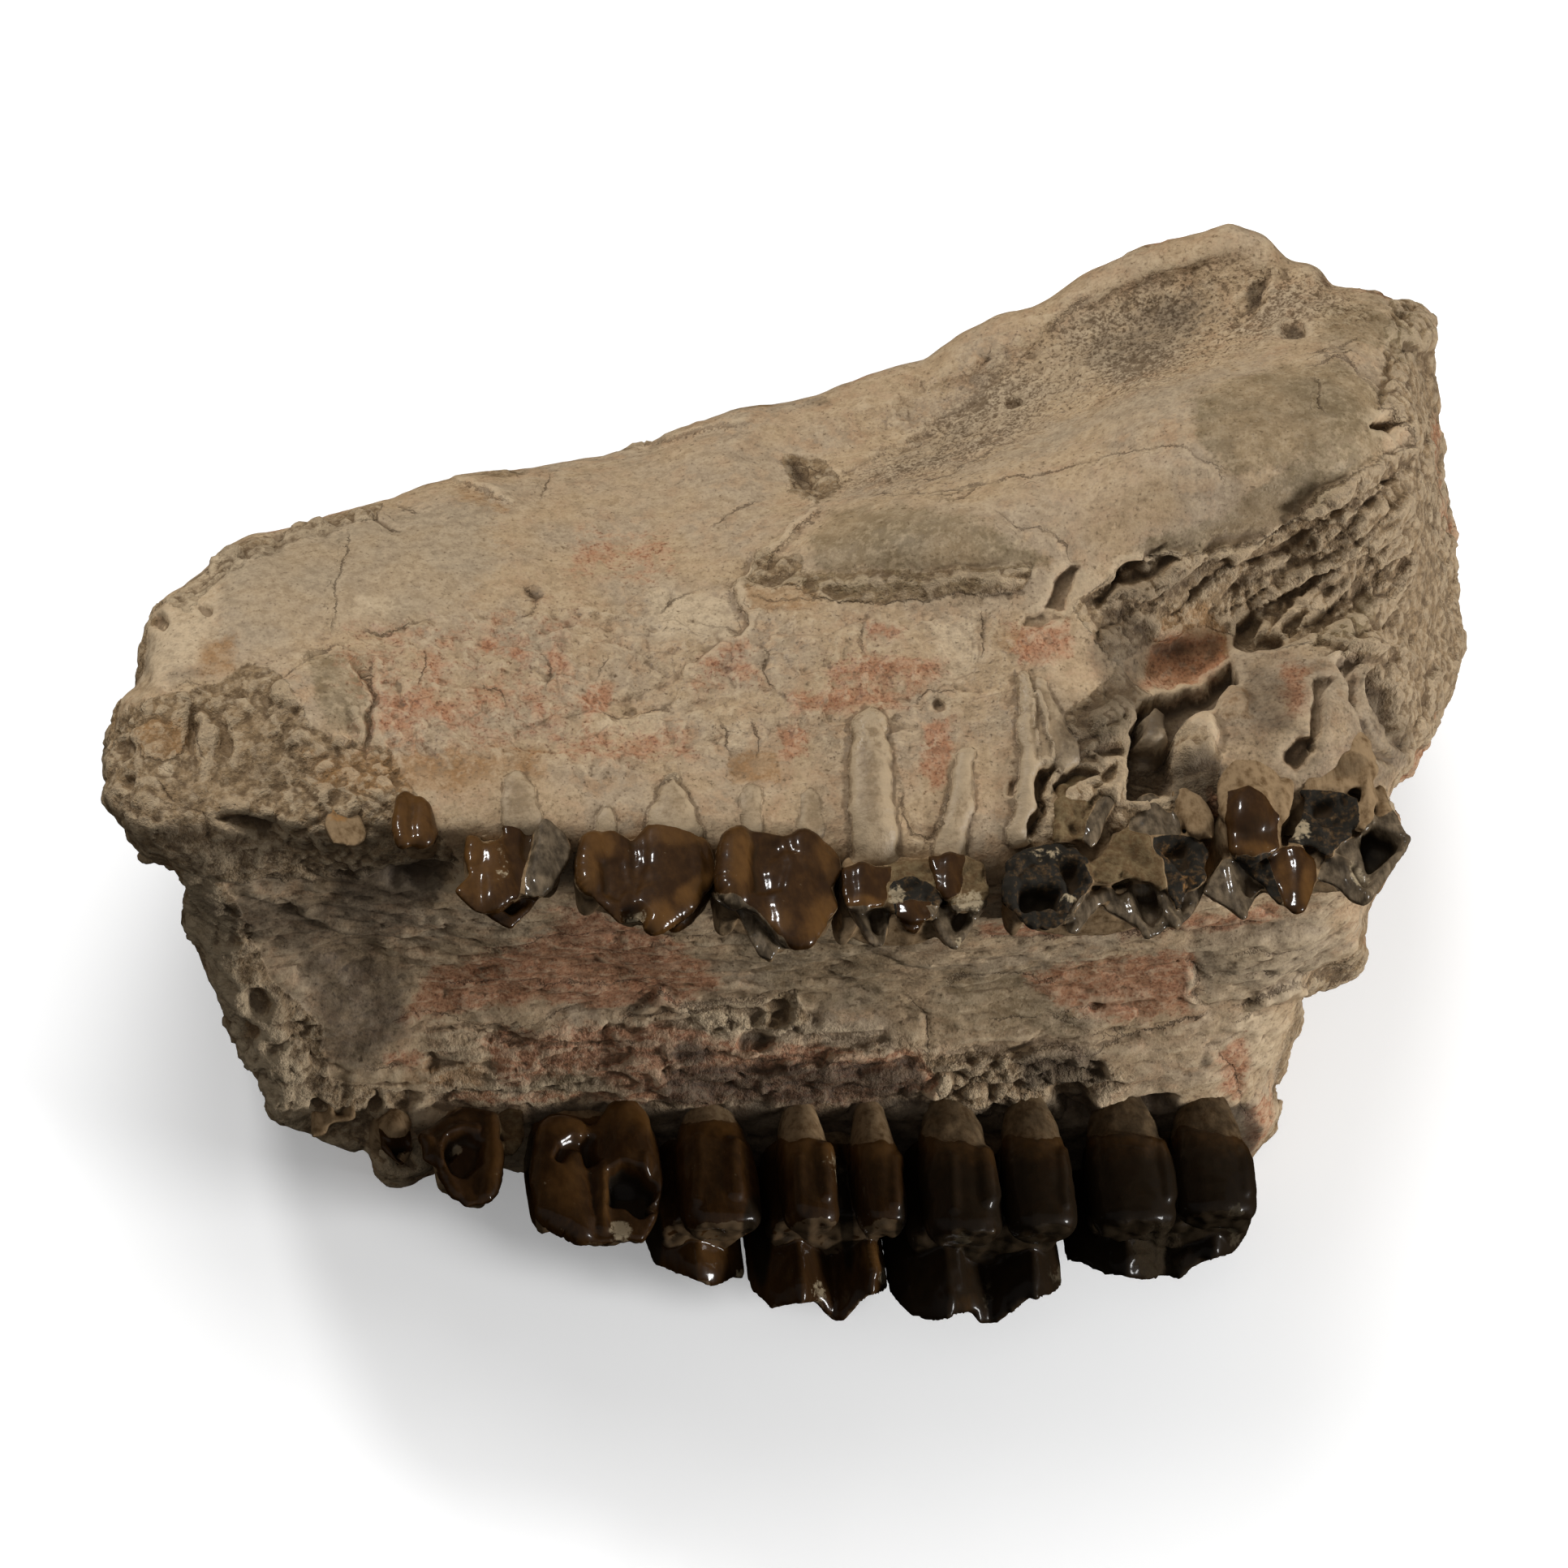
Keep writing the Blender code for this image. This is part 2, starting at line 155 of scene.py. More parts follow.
class Finish:
    """A material in the making: its nodes, and places on the skull in millimetres."""

    def __init__(self, name):
        self.material = bpy.data.materials.new(name)
        self.material.use_nodes = True
        self.tree = self.material.node_tree
        self.shader = self.tree.nodes["Principled BSDF"]

    def node(self, kind, settings, inputs, output=0):
        made = self.tree.nodes.new(kind)
        for name, value in settings.items():
            setattr(made, name, value)
        self.feed(made, inputs)
        return Wire(self, made.outputs[output])

    def feed(self, node, inputs):
        for name, value in inputs.items():
            if isinstance(value, Wire):
                self.tree.links.new(value.socket, node.inputs[name])
            else:
                node.inputs[name].default_value = value

    def place(self):
        """Places on the object, in millimetres."""
        own = self.node("ShaderNodeTexCoord", {}, {}, "Object")
        return self.node("ShaderNodeVectorMath", {"operation": "SCALE"}, {0: own, "Scale": 1 / MM})

    def stretched(self, place, turn_deg, sizes):
        """A place turned about the line of sight and divided by sizes, for grain that runs one way."""
        squared = self.node("ShaderNodeMapping", {"vector_type": "TEXTURE"},
                            {"Vector": place, "Rotation": LAID.to_euler()})
        return self.node("ShaderNodeMapping", {"vector_type": "TEXTURE"},
                         {"Vector": squared, "Rotation": (0, 0, math.radians(turn_deg)), "Scale": sizes})

    def noise(self, place, size, detail=3, roughness=0.55):
        """Cloudy noise from 0 to 1, with lumps about size across."""
        inputs = {"Vector": place, "Scale": 1 / size, "Detail": detail, "Roughness": roughness}
        return self.node("ShaderNodeTexNoise", {}, inputs)

    def cells(self, place, size, feature="F1"):
        """Distance within scattered cells about size across."""
        inputs = {"Vector": place, "Scale": 1 / size}
        return self.node("ShaderNodeTexVoronoi", {"feature": feature}, inputs, "Distance")

    def painted(self, name):
        """The strength of one of the piece's own painted areas."""
        return self.node("ShaderNodeAttribute", {"attribute_name": name}, {}, "Fac")

    def mix(self, share, first, second):
        """Colour first turning to colour second."""
        made = self.tree.nodes.new("ShaderNodeMix")
        made.data_type = "RGBA"
        self.feed(made, {0: share, 6: first, 7: second})
        return Wire(self, made.outputs[2])

    def bump(self, height, strength, reach_mm):
        inputs = {"Height": height, "Strength": strength, "Distance": reach_mm * MM}
        return self.node("ShaderNodeBump", {}, inputs)


paper_finish = Finish("white_paper")
paper_finish.feed(paper_finish.shader, {"Base Color": (0.93, 0.93, 0.93, 1), "Roughness": 0.9,
                                        "Specular IOR Level": 0.0, "Emission Color": (1, 1, 1, 1),
                                        "Emission Strength": 0.25})
paper_data.materials.append(paper_finish.material)

# The skull
# Fossil bone with the sandstone that still fills it and backs it, one block, weathered tan.
# It is the solid of the frame with its faces made fine, carved with the cracks, plate edges,
# pits and chips of its left side and its palate, and roughened as rock everywhere behind.

TO_DRAWN = LAID.transposed().to_4x4() @ Matrix.Translation(UNDER_IT) @ Matrix.Scale(1 / MM, 4)
TO_WORLD = TO_DRAWN.inverted()
FINE = 0.32
MOST_TRIANGLES = 190_000


def step(low, high, values):
    """0 up to low, 1 from high on, and a soft rise between."""
    share = np.clip((values - low) / (high - low), 0, 1)
    return share * share * (3 - 2 * share)


def scatter(cells_at, seed, choices):
    """A number from 0 to choices for each cell of a lattice, always the same for the same seed."""
    mixed = (cells_at[:, 0] * 73856093) ^ (cells_at[:, 1] * 19349663) ^ (cells_at[:, 2] * 83492791)
    mixed = (mixed ^ (seed * 2654435761)) & 0xFFFFFFFF
    mixed = ((mixed ^ (mixed >> 15)) * 2246822519) & 0xFFFFFFFF
    return ((mixed ^ (mixed >> 13)) >> 3) % choices


LATTICE_WAYS = 256
lattice_draw = np.random.default_rng(7)
lattice_ways = lattice_draw.normal(size=(LATTICE_WAYS, 3))
lattice_ways /= np.linalg.norm(lattice_ways, axis=1)[:, None]
lattice_spots = lattice_draw.random((LATTICE_WAYS, 3))


def clouds(at, size, seed, rounds=1):
    """Smooth noise about -1 to 1, with lumps about size across, and each round adding a finer one."""
    total = np.zeros(len(at))
    for k in range(rounds):
        scaled = at / (np.asarray(size) * 0.5**k) + 17.3 * k
        cell = np.floor(scaled).astype(np.int64)
        part = scaled - cell
        fade = part**3 * (part * (part * 6 - 15) + 10)
        for corner in np.ndindex(2, 2, 2):
            way = lattice_ways[scatter(cell + np.array(corner), seed + k, LATTICE_WAYS)]
            weight = np.prod(np.where(np.array(corner), fade, 1 - fade), axis=1)
            total += weight * np.einsum("ij,ij->i", way, part - np.array(corner)) * 1.7 * 0.55**k
    return total


def chips(at, size, seed):
    """Scattered cells about size across: the distance to the edge of each, and a number for each."""
    scaled = at / np.asarray(size)
    cell = np.floor(scaled).astype(np.int64)
    nearest = np.full(len(at), 9.0)
    second = np.full(len(at), 9.0)
    number = np.zeros(len(at))
    for shift in np.ndindex(3, 3, 3):
        other = cell + np.array(shift) - 1
        pick = scatter(other, seed, LATTICE_WAYS)
        away = np.linalg.norm(other + lattice_spots[pick] - scaled, axis=1)
        closer = away < nearest
        second = np.where(closer, nearest, np.minimum(second, away))
        number = np.where(closer, pick / LATTICE_WAYS, number)
        nearest = np.where(closer, away, nearest)
    return second - nearest, number


def without_crumbs(mesh):
    """Takes off the loose faces that thinning can leave: only the largest shell stays."""
    solid = bmesh.new()
    solid.from_mesh(mesh)
    waiting = set(solid.verts)
    shells = []
    while waiting:
        shell = [waiting.pop()]
        for corner in shell:
            for edge in corner.link_edges:
                other = edge.other_vert(corner)
                if other in waiting:
                    waiting.remove(other)
                    shell.append(other)
        shells.append(shell)
    shells.sort(key=len)
    crumbs = [corner for shell in shells[:-1] for corner in shell]
    bmesh.ops.delete(solid, geom=crumbs, context="VERTS")
    solid.to_mesh(mesh)
    solid.free()


class Carving:
    """A fine closed mesh in drawn millimetres, to carve and paint by places on the drawing."""

    def __init__(self, solid, rounding, voxel, smoothing, ragged):
        rough = bpy.data.objects.new("uncarved", solid)
        bpy.context.scene.collection.objects.link(rough)
        rounded = rough.modifiers.new("rounded", "SUBSURF")
        rounded.levels = rounding
        rounded.render_levels = rounding
        fine = rough.modifiers.new("fine", "REMESH")
        fine.mode = "VOXEL"
        fine.voxel_size = voxel
        graph = bpy.context.evaluated_depsgraph_get()
        self.mesh = bpy.data.meshes.new_from_object(rough.evaluated_get(graph))
        bpy.data.objects.remove(rough)
        self.count = len(self.mesh.vertices)
        self.points = np.empty(self.count * 3, np.float32)
        self.mesh.vertices.foreach_get("co", self.points)
        self.points = self.points.reshape(-1, 3).astype(float)
        self.ends = np.empty(len(self.mesh.edges) * 2, np.int32)
        self.mesh.edges.foreach_get("vertices", self.ends)
        self.ends = self.ends.reshape(-1, 2)
        self.valence = np.bincount(self.ends.ravel(), minlength=self.count)
        self.points = self.averaged(self.points, smoothing)
        self.lift = np.zeros(self.count)
        self.paint = {}
        self.ready(ragged)

    def averaged(self, values, rounds):
        """Values at the corners of the mesh, each made the mean of its neighbours' a number of times."""
        first, second = self.ends.T
        for _ in range(rounds):
            total = np.zeros_like(values)
            for axis in range(values.shape[1]):
                total[:, axis] = (np.bincount(first, values[second, axis], self.count)
                                  + np.bincount(second, values[first, axis], self.count))
            values = total / self.valence[:, None]
        return values

    def ready(self, ragged):
        """Finds which way the mesh faces, and the part of it that the drawing shows."""
        self.mesh.vertices.foreach_set("co", self.points.astype(np.float32).ravel())
        self.mesh.update()
        normals = np.empty(self.count * 3, np.float32)
        self.mesh.vertex_normals.foreach_get("vector", normals)
        self.normals = normals.reshape(-1, 3).astype(float)
        self.shown = np.flatnonzero(self.normals[:, 2] > 0.02)
        self.turned_up = step(0.02, 0.3, self.normals[:, 2])
        shift = np.column_stack([clouds(self.points, 3.2, 1, 2), clouds(self.points, 3.2, 4, 2)])
        self.wander = shift * ragged
        self.flat = (self.points[:, :2] + self.wander)[self.shown]

    def by_line(self, line, reach):
        """Of the corners near a drawn line: which, how far off, on which side, how far from its ends."""
        pts = np.array(line, float)
        near = np.flatnonzero(((self.flat > pts.min(0) - reach) & (self.flat < pts.max(0) + reach)).all(1))
        at = self.flat[near]
        lengths = np.hypot(*np.diff(pts, axis=0).T)
        away = np.full(len(near), np.inf)
        side = np.zeros(len(near))
        run = np.zeros(len(near))
        behind = 0.0
        for start, end, length in zip(pts, pts[1:], lengths):
            way = end - start
            share = np.clip((at - start) @ way / length**2, 0, 1)
            off = at - start - share[:, None] * way
            distance = np.hypot(off[:, 0], off[:, 1])
            closer = distance < away
            away[closer] = distance[closer]
            side[closer] = np.sign(way[0] * off[closer, 1] - way[1] * off[closer, 0])
            run[closer] = behind + share[closer] * length
            behind += length
        within = away < reach
        return self.shown[near[within]], away[within], side[within], np.minimum(run, behind - run)[within]

    def in_outline(self, outline, soft):
        """Of the corners in or near a drawn outline: which, and how far in they are, from 0 to 1."""
        pts = np.array(outline, float)
        near = np.flatnonzero(((self.flat > pts.min(0) - soft) & (self.flat < pts.max(0) + soft)).all(1))
        at = self.flat[near]
        inside = np.zeros(len(near), bool)
        away = np.full(len(near), np.inf)
        for start, end in zip(pts, np.roll(pts, -1, axis=0)):
            way = end - start
            share = np.clip((at - start) @ way / max(way @ way, 1e-9), 0, 1)
            off = at - start - share[:, None] * way
            away = np.minimum(away, np.hypot(off[:, 0], off[:, 1]))
            spans = (start[1] > at[:, 1]) != (end[1] > at[:, 1])
            crossing = start[0] + (at[:, 1] - start[1]) * way[0] / (way[1] if way[1] else 1e-9)
            inside ^= spans & (at[:, 0] < crossing)
        return self.shown[near], step(-soft, soft, np.where(inside, away, -away))

    def in_oval(self, centre, half, turn_deg, edge):
        """Of the corners in a drawn oval: which, and a share of 1 inside that fades over its edge."""
        cos, sin = math.cos(math.radians(turn_deg)), math.sin(math.radians(turn_deg))
        off = self.flat - np.array(centre)
        radius = np.hypot((off[:, 0] * cos + off[:, 1] * sin) / half[0],
                          (off[:, 1] * cos - off[:, 0] * sin) / half[1])
        near = np.flatnonzero(radius < 1 + edge)
        return self.shown[near], 1 - step(1 - edge, 1 + edge, radius[near])

    def dab(self, name, near, share):
        """Paints corners, where that is stronger than what is there."""
        layer = self.paint.setdefault(name, np.zeros(self.count))
        layer[near] = np.maximum(layer[near], share)

    def hairline(self, line, darkness):
        """A thin dark line: each corner notes how far off it is, with the side as the sign."""
        near, away, side, ends = self.by_line(line, 1.3)
        seam = self.paint.setdefault("seam", np.full(self.count, 9.0))
        dark = self.paint.setdefault("seam_dark", np.zeros(self.count))
        closer = away < np.abs(seam[near])
        near, away, side, ends = near[closer], away[closer], side[closer], ends[closer]
        seam[near] = side * away
        dark[near] = darkness * np.clip(ends / 1.2, 0, 1) * (1 - step(0.7, 1.3, away))

    def crack(self, width, depth, line):
        near, away, _, ends = self.by_line(line, width)
        groove = np.clip(ends / 1.5, 0.25, 1) * (1 - away / width) ** 0.8
        self.lift[near] -= depth * (0.45 if width < 0.6 else 0.7) * groove
        self.dab("dark", near, 0.8 * max(0, width - 0.5) * groove)
        self.hairline(line, 0.8)

    def plate_edge(self, height, reach, line):
        """The higher plate is on the left of the way that the line runs."""
        near, away, side, ends = self.by_line(line, reach)
        taper = np.clip(ends / 1.5, 0.25, 1)
        rise = np.tanh(side * away / 0.28)
        fall = 1 - step(0, reach, away)
        self.lift[near] += height * taper * fall * np.where(rise > 0, 0.65 * rise, 0.45 * rise)
        # Painted shade along the foot of the step, on the lower plate.
        foot = (side < 0) * (1 - step(0, 0.5, away)) * taper
        self.dab("dark", near, 0.35 * foot * min(height, 1))
        self.hairline(line, 0.8 * min(height, 1))

    def nudge(self, centre, reach, way):
        """Moves the mesh sideways as drawn, most at the centre and less out to the reach."""
        away = np.hypot(*(self.points[:, :2] - np.array(centre)).T)
        share = 1 - step(0.2, 1, away / reach)
        self.points[:, :2] += share[:, None] * np.array(way)

    def hollow(self, centre, half, turn_deg, depth, edge):
        """A pit, or a lump where the depth is below 0."""
        near, share = self.in_oval(centre, half, turn_deg, edge)
        self.lift[near] -= depth * share
        # Pits are painted darker inside as well: painted shade.
        if depth > 0:
            self.dab("dark", near, share * min(1, 0.05 + 0.3 * depth))

    def swell(self, radii, height, line):
        """A half-round ridge along a line, from the first radius to the second. Gives where it is."""
        near, away, _, _ = self.by_line(line, 1.2 * max(radii))
        pts = np.array(line, float)
        way = pts[-1] - pts[0]
        share = np.clip((self.points[near, :2] - pts[0]) @ way / (way @ way), 0, 1)
        radius = radii[0] + (radii[1] - radii[0]) * share
        bulge = np.sqrt(np.clip(1 - (away / radius) ** 2, 0, 1))
        self.lift[near] += height * bulge * radius / max(radii)
        return near, bulge, away / radius

    def sink(self, depth, outline):
        """A steep-sided hole of any outline."""
        near, share = self.in_outline(outline, 0.28)
        self.lift[near] -= depth * share
        # The hole is painted darker inside as well: painted shade.
        self.dab("dark", near, share * min(1, 0.1 + 0.3 * depth))

    def cover(self, name, outline, others):
        """Paints an outline, and takes the other paints off it."""
        near, share = self.in_outline(outline, 0.14)
        for other in others:
            self.paint[other][near] *= 1 - share
        self.dab(name, near, share)

    def stain(self, name, centre, half, turn_deg, strength):
        near, share = self.in_oval(centre, half, turn_deg, 0.55)
        self.dab(name, near, strength * share)

    def shape(self, softening):
        """Moves the surface by what was carved, and notes how hollow or raised each place is, for the
        colours.
        """
        self.points = self.averaged(self.points + self.normals * self.lift[:, None], softening)
        self.lift = np.zeros(self.count)
        tight = np.einsum("ij,ij->i", self.averaged(self.points, 3) - self.points, self.normals)
        wide = np.einsum("ij,ij->i", self.averaged(self.points, 14) - self.points, self.normals)
        self.paint["hollow"] = np.clip(0.5 + 1.2 * tight + 0.6 * wide, 0, 1)

    def piece(self, name, most_triangles):
        """The carved mesh as an object in the world, thinned most where the drawing doesn't show it."""
        self.mesh.vertices.foreach_set("co", self.points.astype(np.float32).ravel())
        for layer_name, values in self.paint.items():
            layer = self.mesh.attributes.new(layer_name, "FLOAT", "POINT")
            layer.data.foreach_set("value", values.astype(np.float32))
        self.mesh.update()
        made = bpy.data.objects.new(name, self.mesh)
        bpy.context.scene.collection.objects.link(made)
        behind = made.vertex_groups.new(name="behind")
        behind.add(np.flatnonzero(self.normals[:, 2] < -0.1).tolist(), 1.0, "REPLACE")
        behind.add(np.flatnonzero(self.normals[:, 2] >= -0.1).tolist(), 0.35, "REPLACE")
        thin = made.modifiers.new("thin", "DECIMATE")
        thin.vertex_group = "behind"
        thin.ratio = min(1, most_triangles / (2 * len(self.mesh.polygons)))
        graph = bpy.context.evaluated_depsgraph_get()
        thinned = bpy.data.meshes.new_from_object(made.evaluated_get(graph))
        made.modifiers.clear()
        made.vertex_groups.clear()
        made.data = thinned
        without_crumbs(thinned)
        thinned.transform(TO_WORLD)
        places = np.empty(len(thinned.vertices) * 3, np.float32)
        thinned.vertices.foreach_get("co", places)
        places = places.reshape(-1, 3)
        places[:, 2] = np.maximum(places[:, 2], 0)
        thinned.vertices.foreach_set("co", places.ravel())
        thinned.shade_smooth()
        thinned.update()
        return made


block_mesh = bmesh.new()
block_mesh.from_mesh(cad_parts["skull"].data)
bmesh.ops.remove_doubles(block_mesh, verts=block_mesh.verts, dist=1e-6)
bmesh.ops.transform(block_mesh, matrix=TO_DRAWN, verts=block_mesh.verts)
block = bpy.data.meshes.new("skull_block")
block_mesh.to_mesh(block)
block_mesh.free()
side = Carving(block, 2, FINE, 6, 0.45)

# Where the outline needs a push: the middle, how far it reaches, and the way as drawn.
NUDGES = (
    ((-63, 17), 4, (-0.4, 0.6)), ((-55, 24), 5, (-0.3, 0.8)), ((-66, 11), 3, (0.8, -0.4)),
    ((-33, 31), 8, (0, 0.6)), ((-7, 36.5), 9, (-0.2, 0.9)), ((9, 41), 7, (0, 0.4)),
    ((20, 46), 7, (-0.2, 1.0)), ((33, 52), 8, (-0.2, 0.9)), ((47, 55), 6, (0, 1.7)),
    ((40, 53), 6, (-0.2, 0.5)), ((53.6, 52.4), 3, (0.6, 0.9)), ((66, 45.5), 4, (0.7, 0.9)),
    ((68, 16), 7, (0.6, 0)), ((65.5, 2.5), 3, (-0.9, 0)), ((64, -1), 3.2, (-2.6, 0)),
    ((63.6, -5), 3, (-0.6, 0)), ((57, -18), 3, (1.6, 0)), ((55, -22.5), 3, (-1.8, 0)),
    ((49, -34.5), 4, (1.2, 0)), ((-63.5, -10.5), 4, (2.4, 0.4)), ((-50, -32.5), 3, (-1, -0.8)),
    ((-38, -36), 5, (-1.4, -3.0)), ((-60.3, -15), 2, (-0.6, 0)), ((57.5, -15), 2.4, (0.8, 0)),
)
for centre, reach, way in NUDGES:
    side.nudge(centre, reach, way)
side.ready(0.45)

# Hairline and open cracks: width, depth, and the points that each runs through.
CRACKS = (
    (0.45, 0.6, (12, -0.4), (11.9, -3), (12.8, -5), (14.5, -5.4), (16.1, -3.8), (16.6, -1), (16.3, 1.6)),
    (0.4, 0.6, (-19.4, -3.6), (-18.8, -2.5), (-17.8, -2.2), (-16.8, -3.2)),
    (0.35, 0.4, (-13.2, -2.2), (-12.6, -0.2), (-11.2, 0.3), (-9.8, -0.4), (-8.6, -2.6)),
    (0.35, 0.25, (-44, 26), (-44.3, 23), (-45, 21), (-45.2, 18), (-45.3, 15)),
    (0.7, 0.7, (-42.5, 28), (-41, 27), (-40, 26.3), (-38, 25.2)),
    (0.8, 0.5, (-39.7, 28.4), (-38, 28), (-36.5, 27.6)),
    (0.45, 0.45, (-43, 15.7), (-40, 15.5), (-38, 16), (-35.5, 16.8)),
    (0.5, 0.6, (-50.5, 10.3), (-48.5, 12.3), (-45, 14.3)),
    (0.6, 0.7, (-43, 12), (-41.5, 10.5), (-41, 8.5), (-42, 7), (-41.5, 5), (-42, 3.5)),
    (0.5, 0.5, (-23.7, 32), (-24.2, 30), (-25, 28.5)),
    (0.4, 0.35, (-8, 26), (-5, 27.8), (-2, 29.2)),
    (0.5, 0.5, (-13, 17), (-11, 18.8), (-8, 19.8)),
    (0.5, 0.5, (-27.5, 16.5), (-25.5, 17.5), (-24.5, 19)),
    (0.5, 0.45, (-19.3, 10.5), (-18, 12), (-17.5, 13.2)),
    (0.5, 0.45, (-2.5, 14), (-1.7, 13), (-2, 11.5), (-1.5, 10), (-0.5, 9.3)),
    (0.5, 0.6, (-19, 7.3), (-17, 7), (-15, 7), (-12, 8), (-11, 9.5)),
    (0.45, 0.4, (7.5, 15), (7.3, 13.8)),
    (0.45, 0.4, (20, 18), (20.2, 15), (19.8, 12)),
    (0.45, 0.5, (2, 7), (1.8, 5)),
    (0.5, 0.4, (13, 30.5), (15, 31), (17, 31.5), (19, 32.7), (24, 36)),
    (0.4, 0.3, (15, 28.6), (17, 29), (20, 30.2), (25, 31.2), (30, 32.5), (33, 33.2), (36, 34), (40, 34),
     (42, 33), (44.5, 31.7)),
    (0.4, 0.35, (42, 33), (43.4, 31.8), (44.5, 30.2)),
    (0.5, 0.5, (21, 27.5), (23.5, 26), (25.5, 25.7), (27.3, 25), (28.5, 24), (29, 22)),
    (0.5, 0.4, (26, 45), (28, 47), (30, 49), (31.5, 50)),
    (1.1, 1.3, (45, 47.5), (47, 49), (48.3, 50.5), (48.7, 52), (47.5, 52.2)),
    (0.4, 0.4, (20, 42), (20.4, 43.5), (21, 45)),
    (0.5, 0.5, (56, 44.3), (58, 42.3), (60.3, 40.3)),
    (0.4, 0.4, (52, 43), (56, 44.3), (59, 45.3)),
    (0.5, 0.5, (52.5, 41.5), (54, 40.5), (54, 39), (54.8, 37)),
    (0.5, 0.5, (58.5, 37), (59, 35)),
    (0.8, 0.9, (56, 26), (58, 27.3), (60, 29), (63, 31.5)),
    (0.8, 0.8, (55, 24.3), (57, 25), (58.5, 26)),
    (0.9, 0.9, (53, 17.2), (56, 18), (60, 20), (62, 22)),
    (0.5, 0.4, (-40, -24.3), (-38, -23.3), (-36, -23), (-34, -23.5), (-31, -24.5), (-28, -24.8),
     (-25, -24), (-20, -22.7)),
    (0.5, 0.5, (-43, -28.6), (-40, -28.8), (-38.5, -28)),
    (0.5, 0.5, (12.5, -21), (14, -23), (14.8, -26), (14.5, -28)),
    (0.5, 0.5, (31, -27.5), (34, -25.8), (37, -25), (40, -24), (43, -23)),
    (0.4, 0.4, (31, -26), (33, -25), (35, -24.2)),
    (0.4, 0.3, (26, -23.7), (30, -22.8), (32, -22.5)),
    (0.5, 0.5, (45, -24.3), (48, -23.4), (51, -22)),
    (1.2, 0.8, (20, -15.6), (25, -15.9), (30, -15.7), (36, -15.5), (42, -15), (48, -13.5)),
    (0.6, 0.5, (-18, -15.2), (-12, -15.6), (-8, -15.4), (-3, -15)),
    (0.45, 0.4, (0.2, 32.4), (1, 30.6), (2.6, 28.9)),
    (0.5, 0.5, (0.4, 33), (2.2, 31.4), (3.6, 30)),
    (0.5, 0.6, (1.2, 33.4), (3.2, 32), (4.8, 31.2)),
    (0.4, 0.4, (1.4, 29.8), (3.4, 29.2), (5.4, 29.6)),
    (0.4, 0.3, (-19.4, 9.6), (-18.4, 7.6)),
    (0.4, 0.3, (-11.8, 8.2), (-11, 9.4), (-11, 11)),
    (0.5, 0.6, (-41.6, 13), (-41.1, 10), (-41.6, 7), (-41.8, 3.4)),
    (0.4, 0.4, (-26.6, 20), (-25.6, 19.2), (-24.6, 18.4)),
    (0.35, 0.3, (-36.6, 13.9), (-36, 11.6), (-36.6, 9.8)),
    (0.35, 0.3, (-31, 10.2), (-28.6, 9.6), (-28, 7.6)),
    (0.35, 0.3, (-24.8, 13.6), (-23.6, 11.4), (-24, 9)),
    (0.35, 0.3, (-9.4, 16.4), (-6.2, 15.8), (-4.4, 15)),
    (0.35, 0.3, (-3.6, 18.6), (4, 18.4), (12, 18.6), (24, 19.2)),
    (0.35, 0.3, (8, 16.6), (7.6, 13.8), (8.4, 12.6)),
    (0.35, 0.3, (12.6, 7.8), (14.4, 9), (18, 9.4)),
    (0.35, 0.3, (-6.8, 7), (-5.6, 5), (-5.4, 2.6)),
    (0.35, 0.3, (-3.8, 6.8), (-2.6, 4.4), (-3, 2.2)),
    (0.35, 0.35, (8.2, 29.7), (14.5, 29.4), (20.4, 30.7)),
    (0.35, 0.3, (52, 41.9), (55.9, 43.3), (57.4, 42.8), (59.8, 39.9)),
    (0.45, 0.5, (-59.4, 7), (-58.8, 4.4), (-58, 1.6)),
    (0.4, 0.5, (-63, 1), (-62, -1), (-60.5, -2)),
    (0.4, 0.4, (-65.6, 5), (-64.7, 2.7), (-61.2, 2.4), (-59.6, 4.2)),
    (0.4, 0.4, (-61, 9.7), (-60, 10.4), (-57.6, 9.4)),
    (0.5, 0.5, (-62.6, -2.4), (-58, -2.8), (-57.6, -6.6)),
    (0.35, 0.3, (-48.2, 13.2), (-45, 14.2), (-42, 13.6)),
    (0.5, 0.6, (-17, -24), (-12.1, -23.2), (-7.5, -22.5), (-4.5, -22.8), (-1.5, -21)),
    (0.35, 0.35, (-35, -20.4), (-28, -19.6), (-20, -20.4), (-12, -19.4)),
    (0.35, 0.3, (-30, -17), (-24, -15.4), (-18, -15)),
    (0.35, 0.3, (16, -19.5), (22, -19), (28, -20.2)),
    (0.35, 0.3, (20, -24), (26, -23.4), (30, -24.6)),
    (0.4, 0.4, (-33, -31.6), (-28, -31), (-24, -31.8)),
    (0.4, 0.35, (-29.6, -26.4), (-24, -25.8), (-19, -26.6), (-14, -25.6)),
    (0.4, 0.4, (-4, -28.4), (2, -27.8), (8, -28.6), (14, -28)),
    (0.4, 0.4, (-12, -30.6), (-4, -30.2), (4, -31.2), (12, -30.8)),
    (0.4, 0.4, (41, -17), (42, -19.4), (41.4, -21), (43.4, -22.8)),
    (0.4, 0.4, (44, -17), (48, -16), (53, -16.6)),
    (0.4, 0.4, (43.6, -19.6), (48, -18.8), (54, -19.4)),
    (0.4, 0.35, (43.6, -26.6), (45.8, -29), (46.2, -32), (48, -34.6)),
)
for width, depth, *line in CRACKS:
    side.crack(width, depth, line)

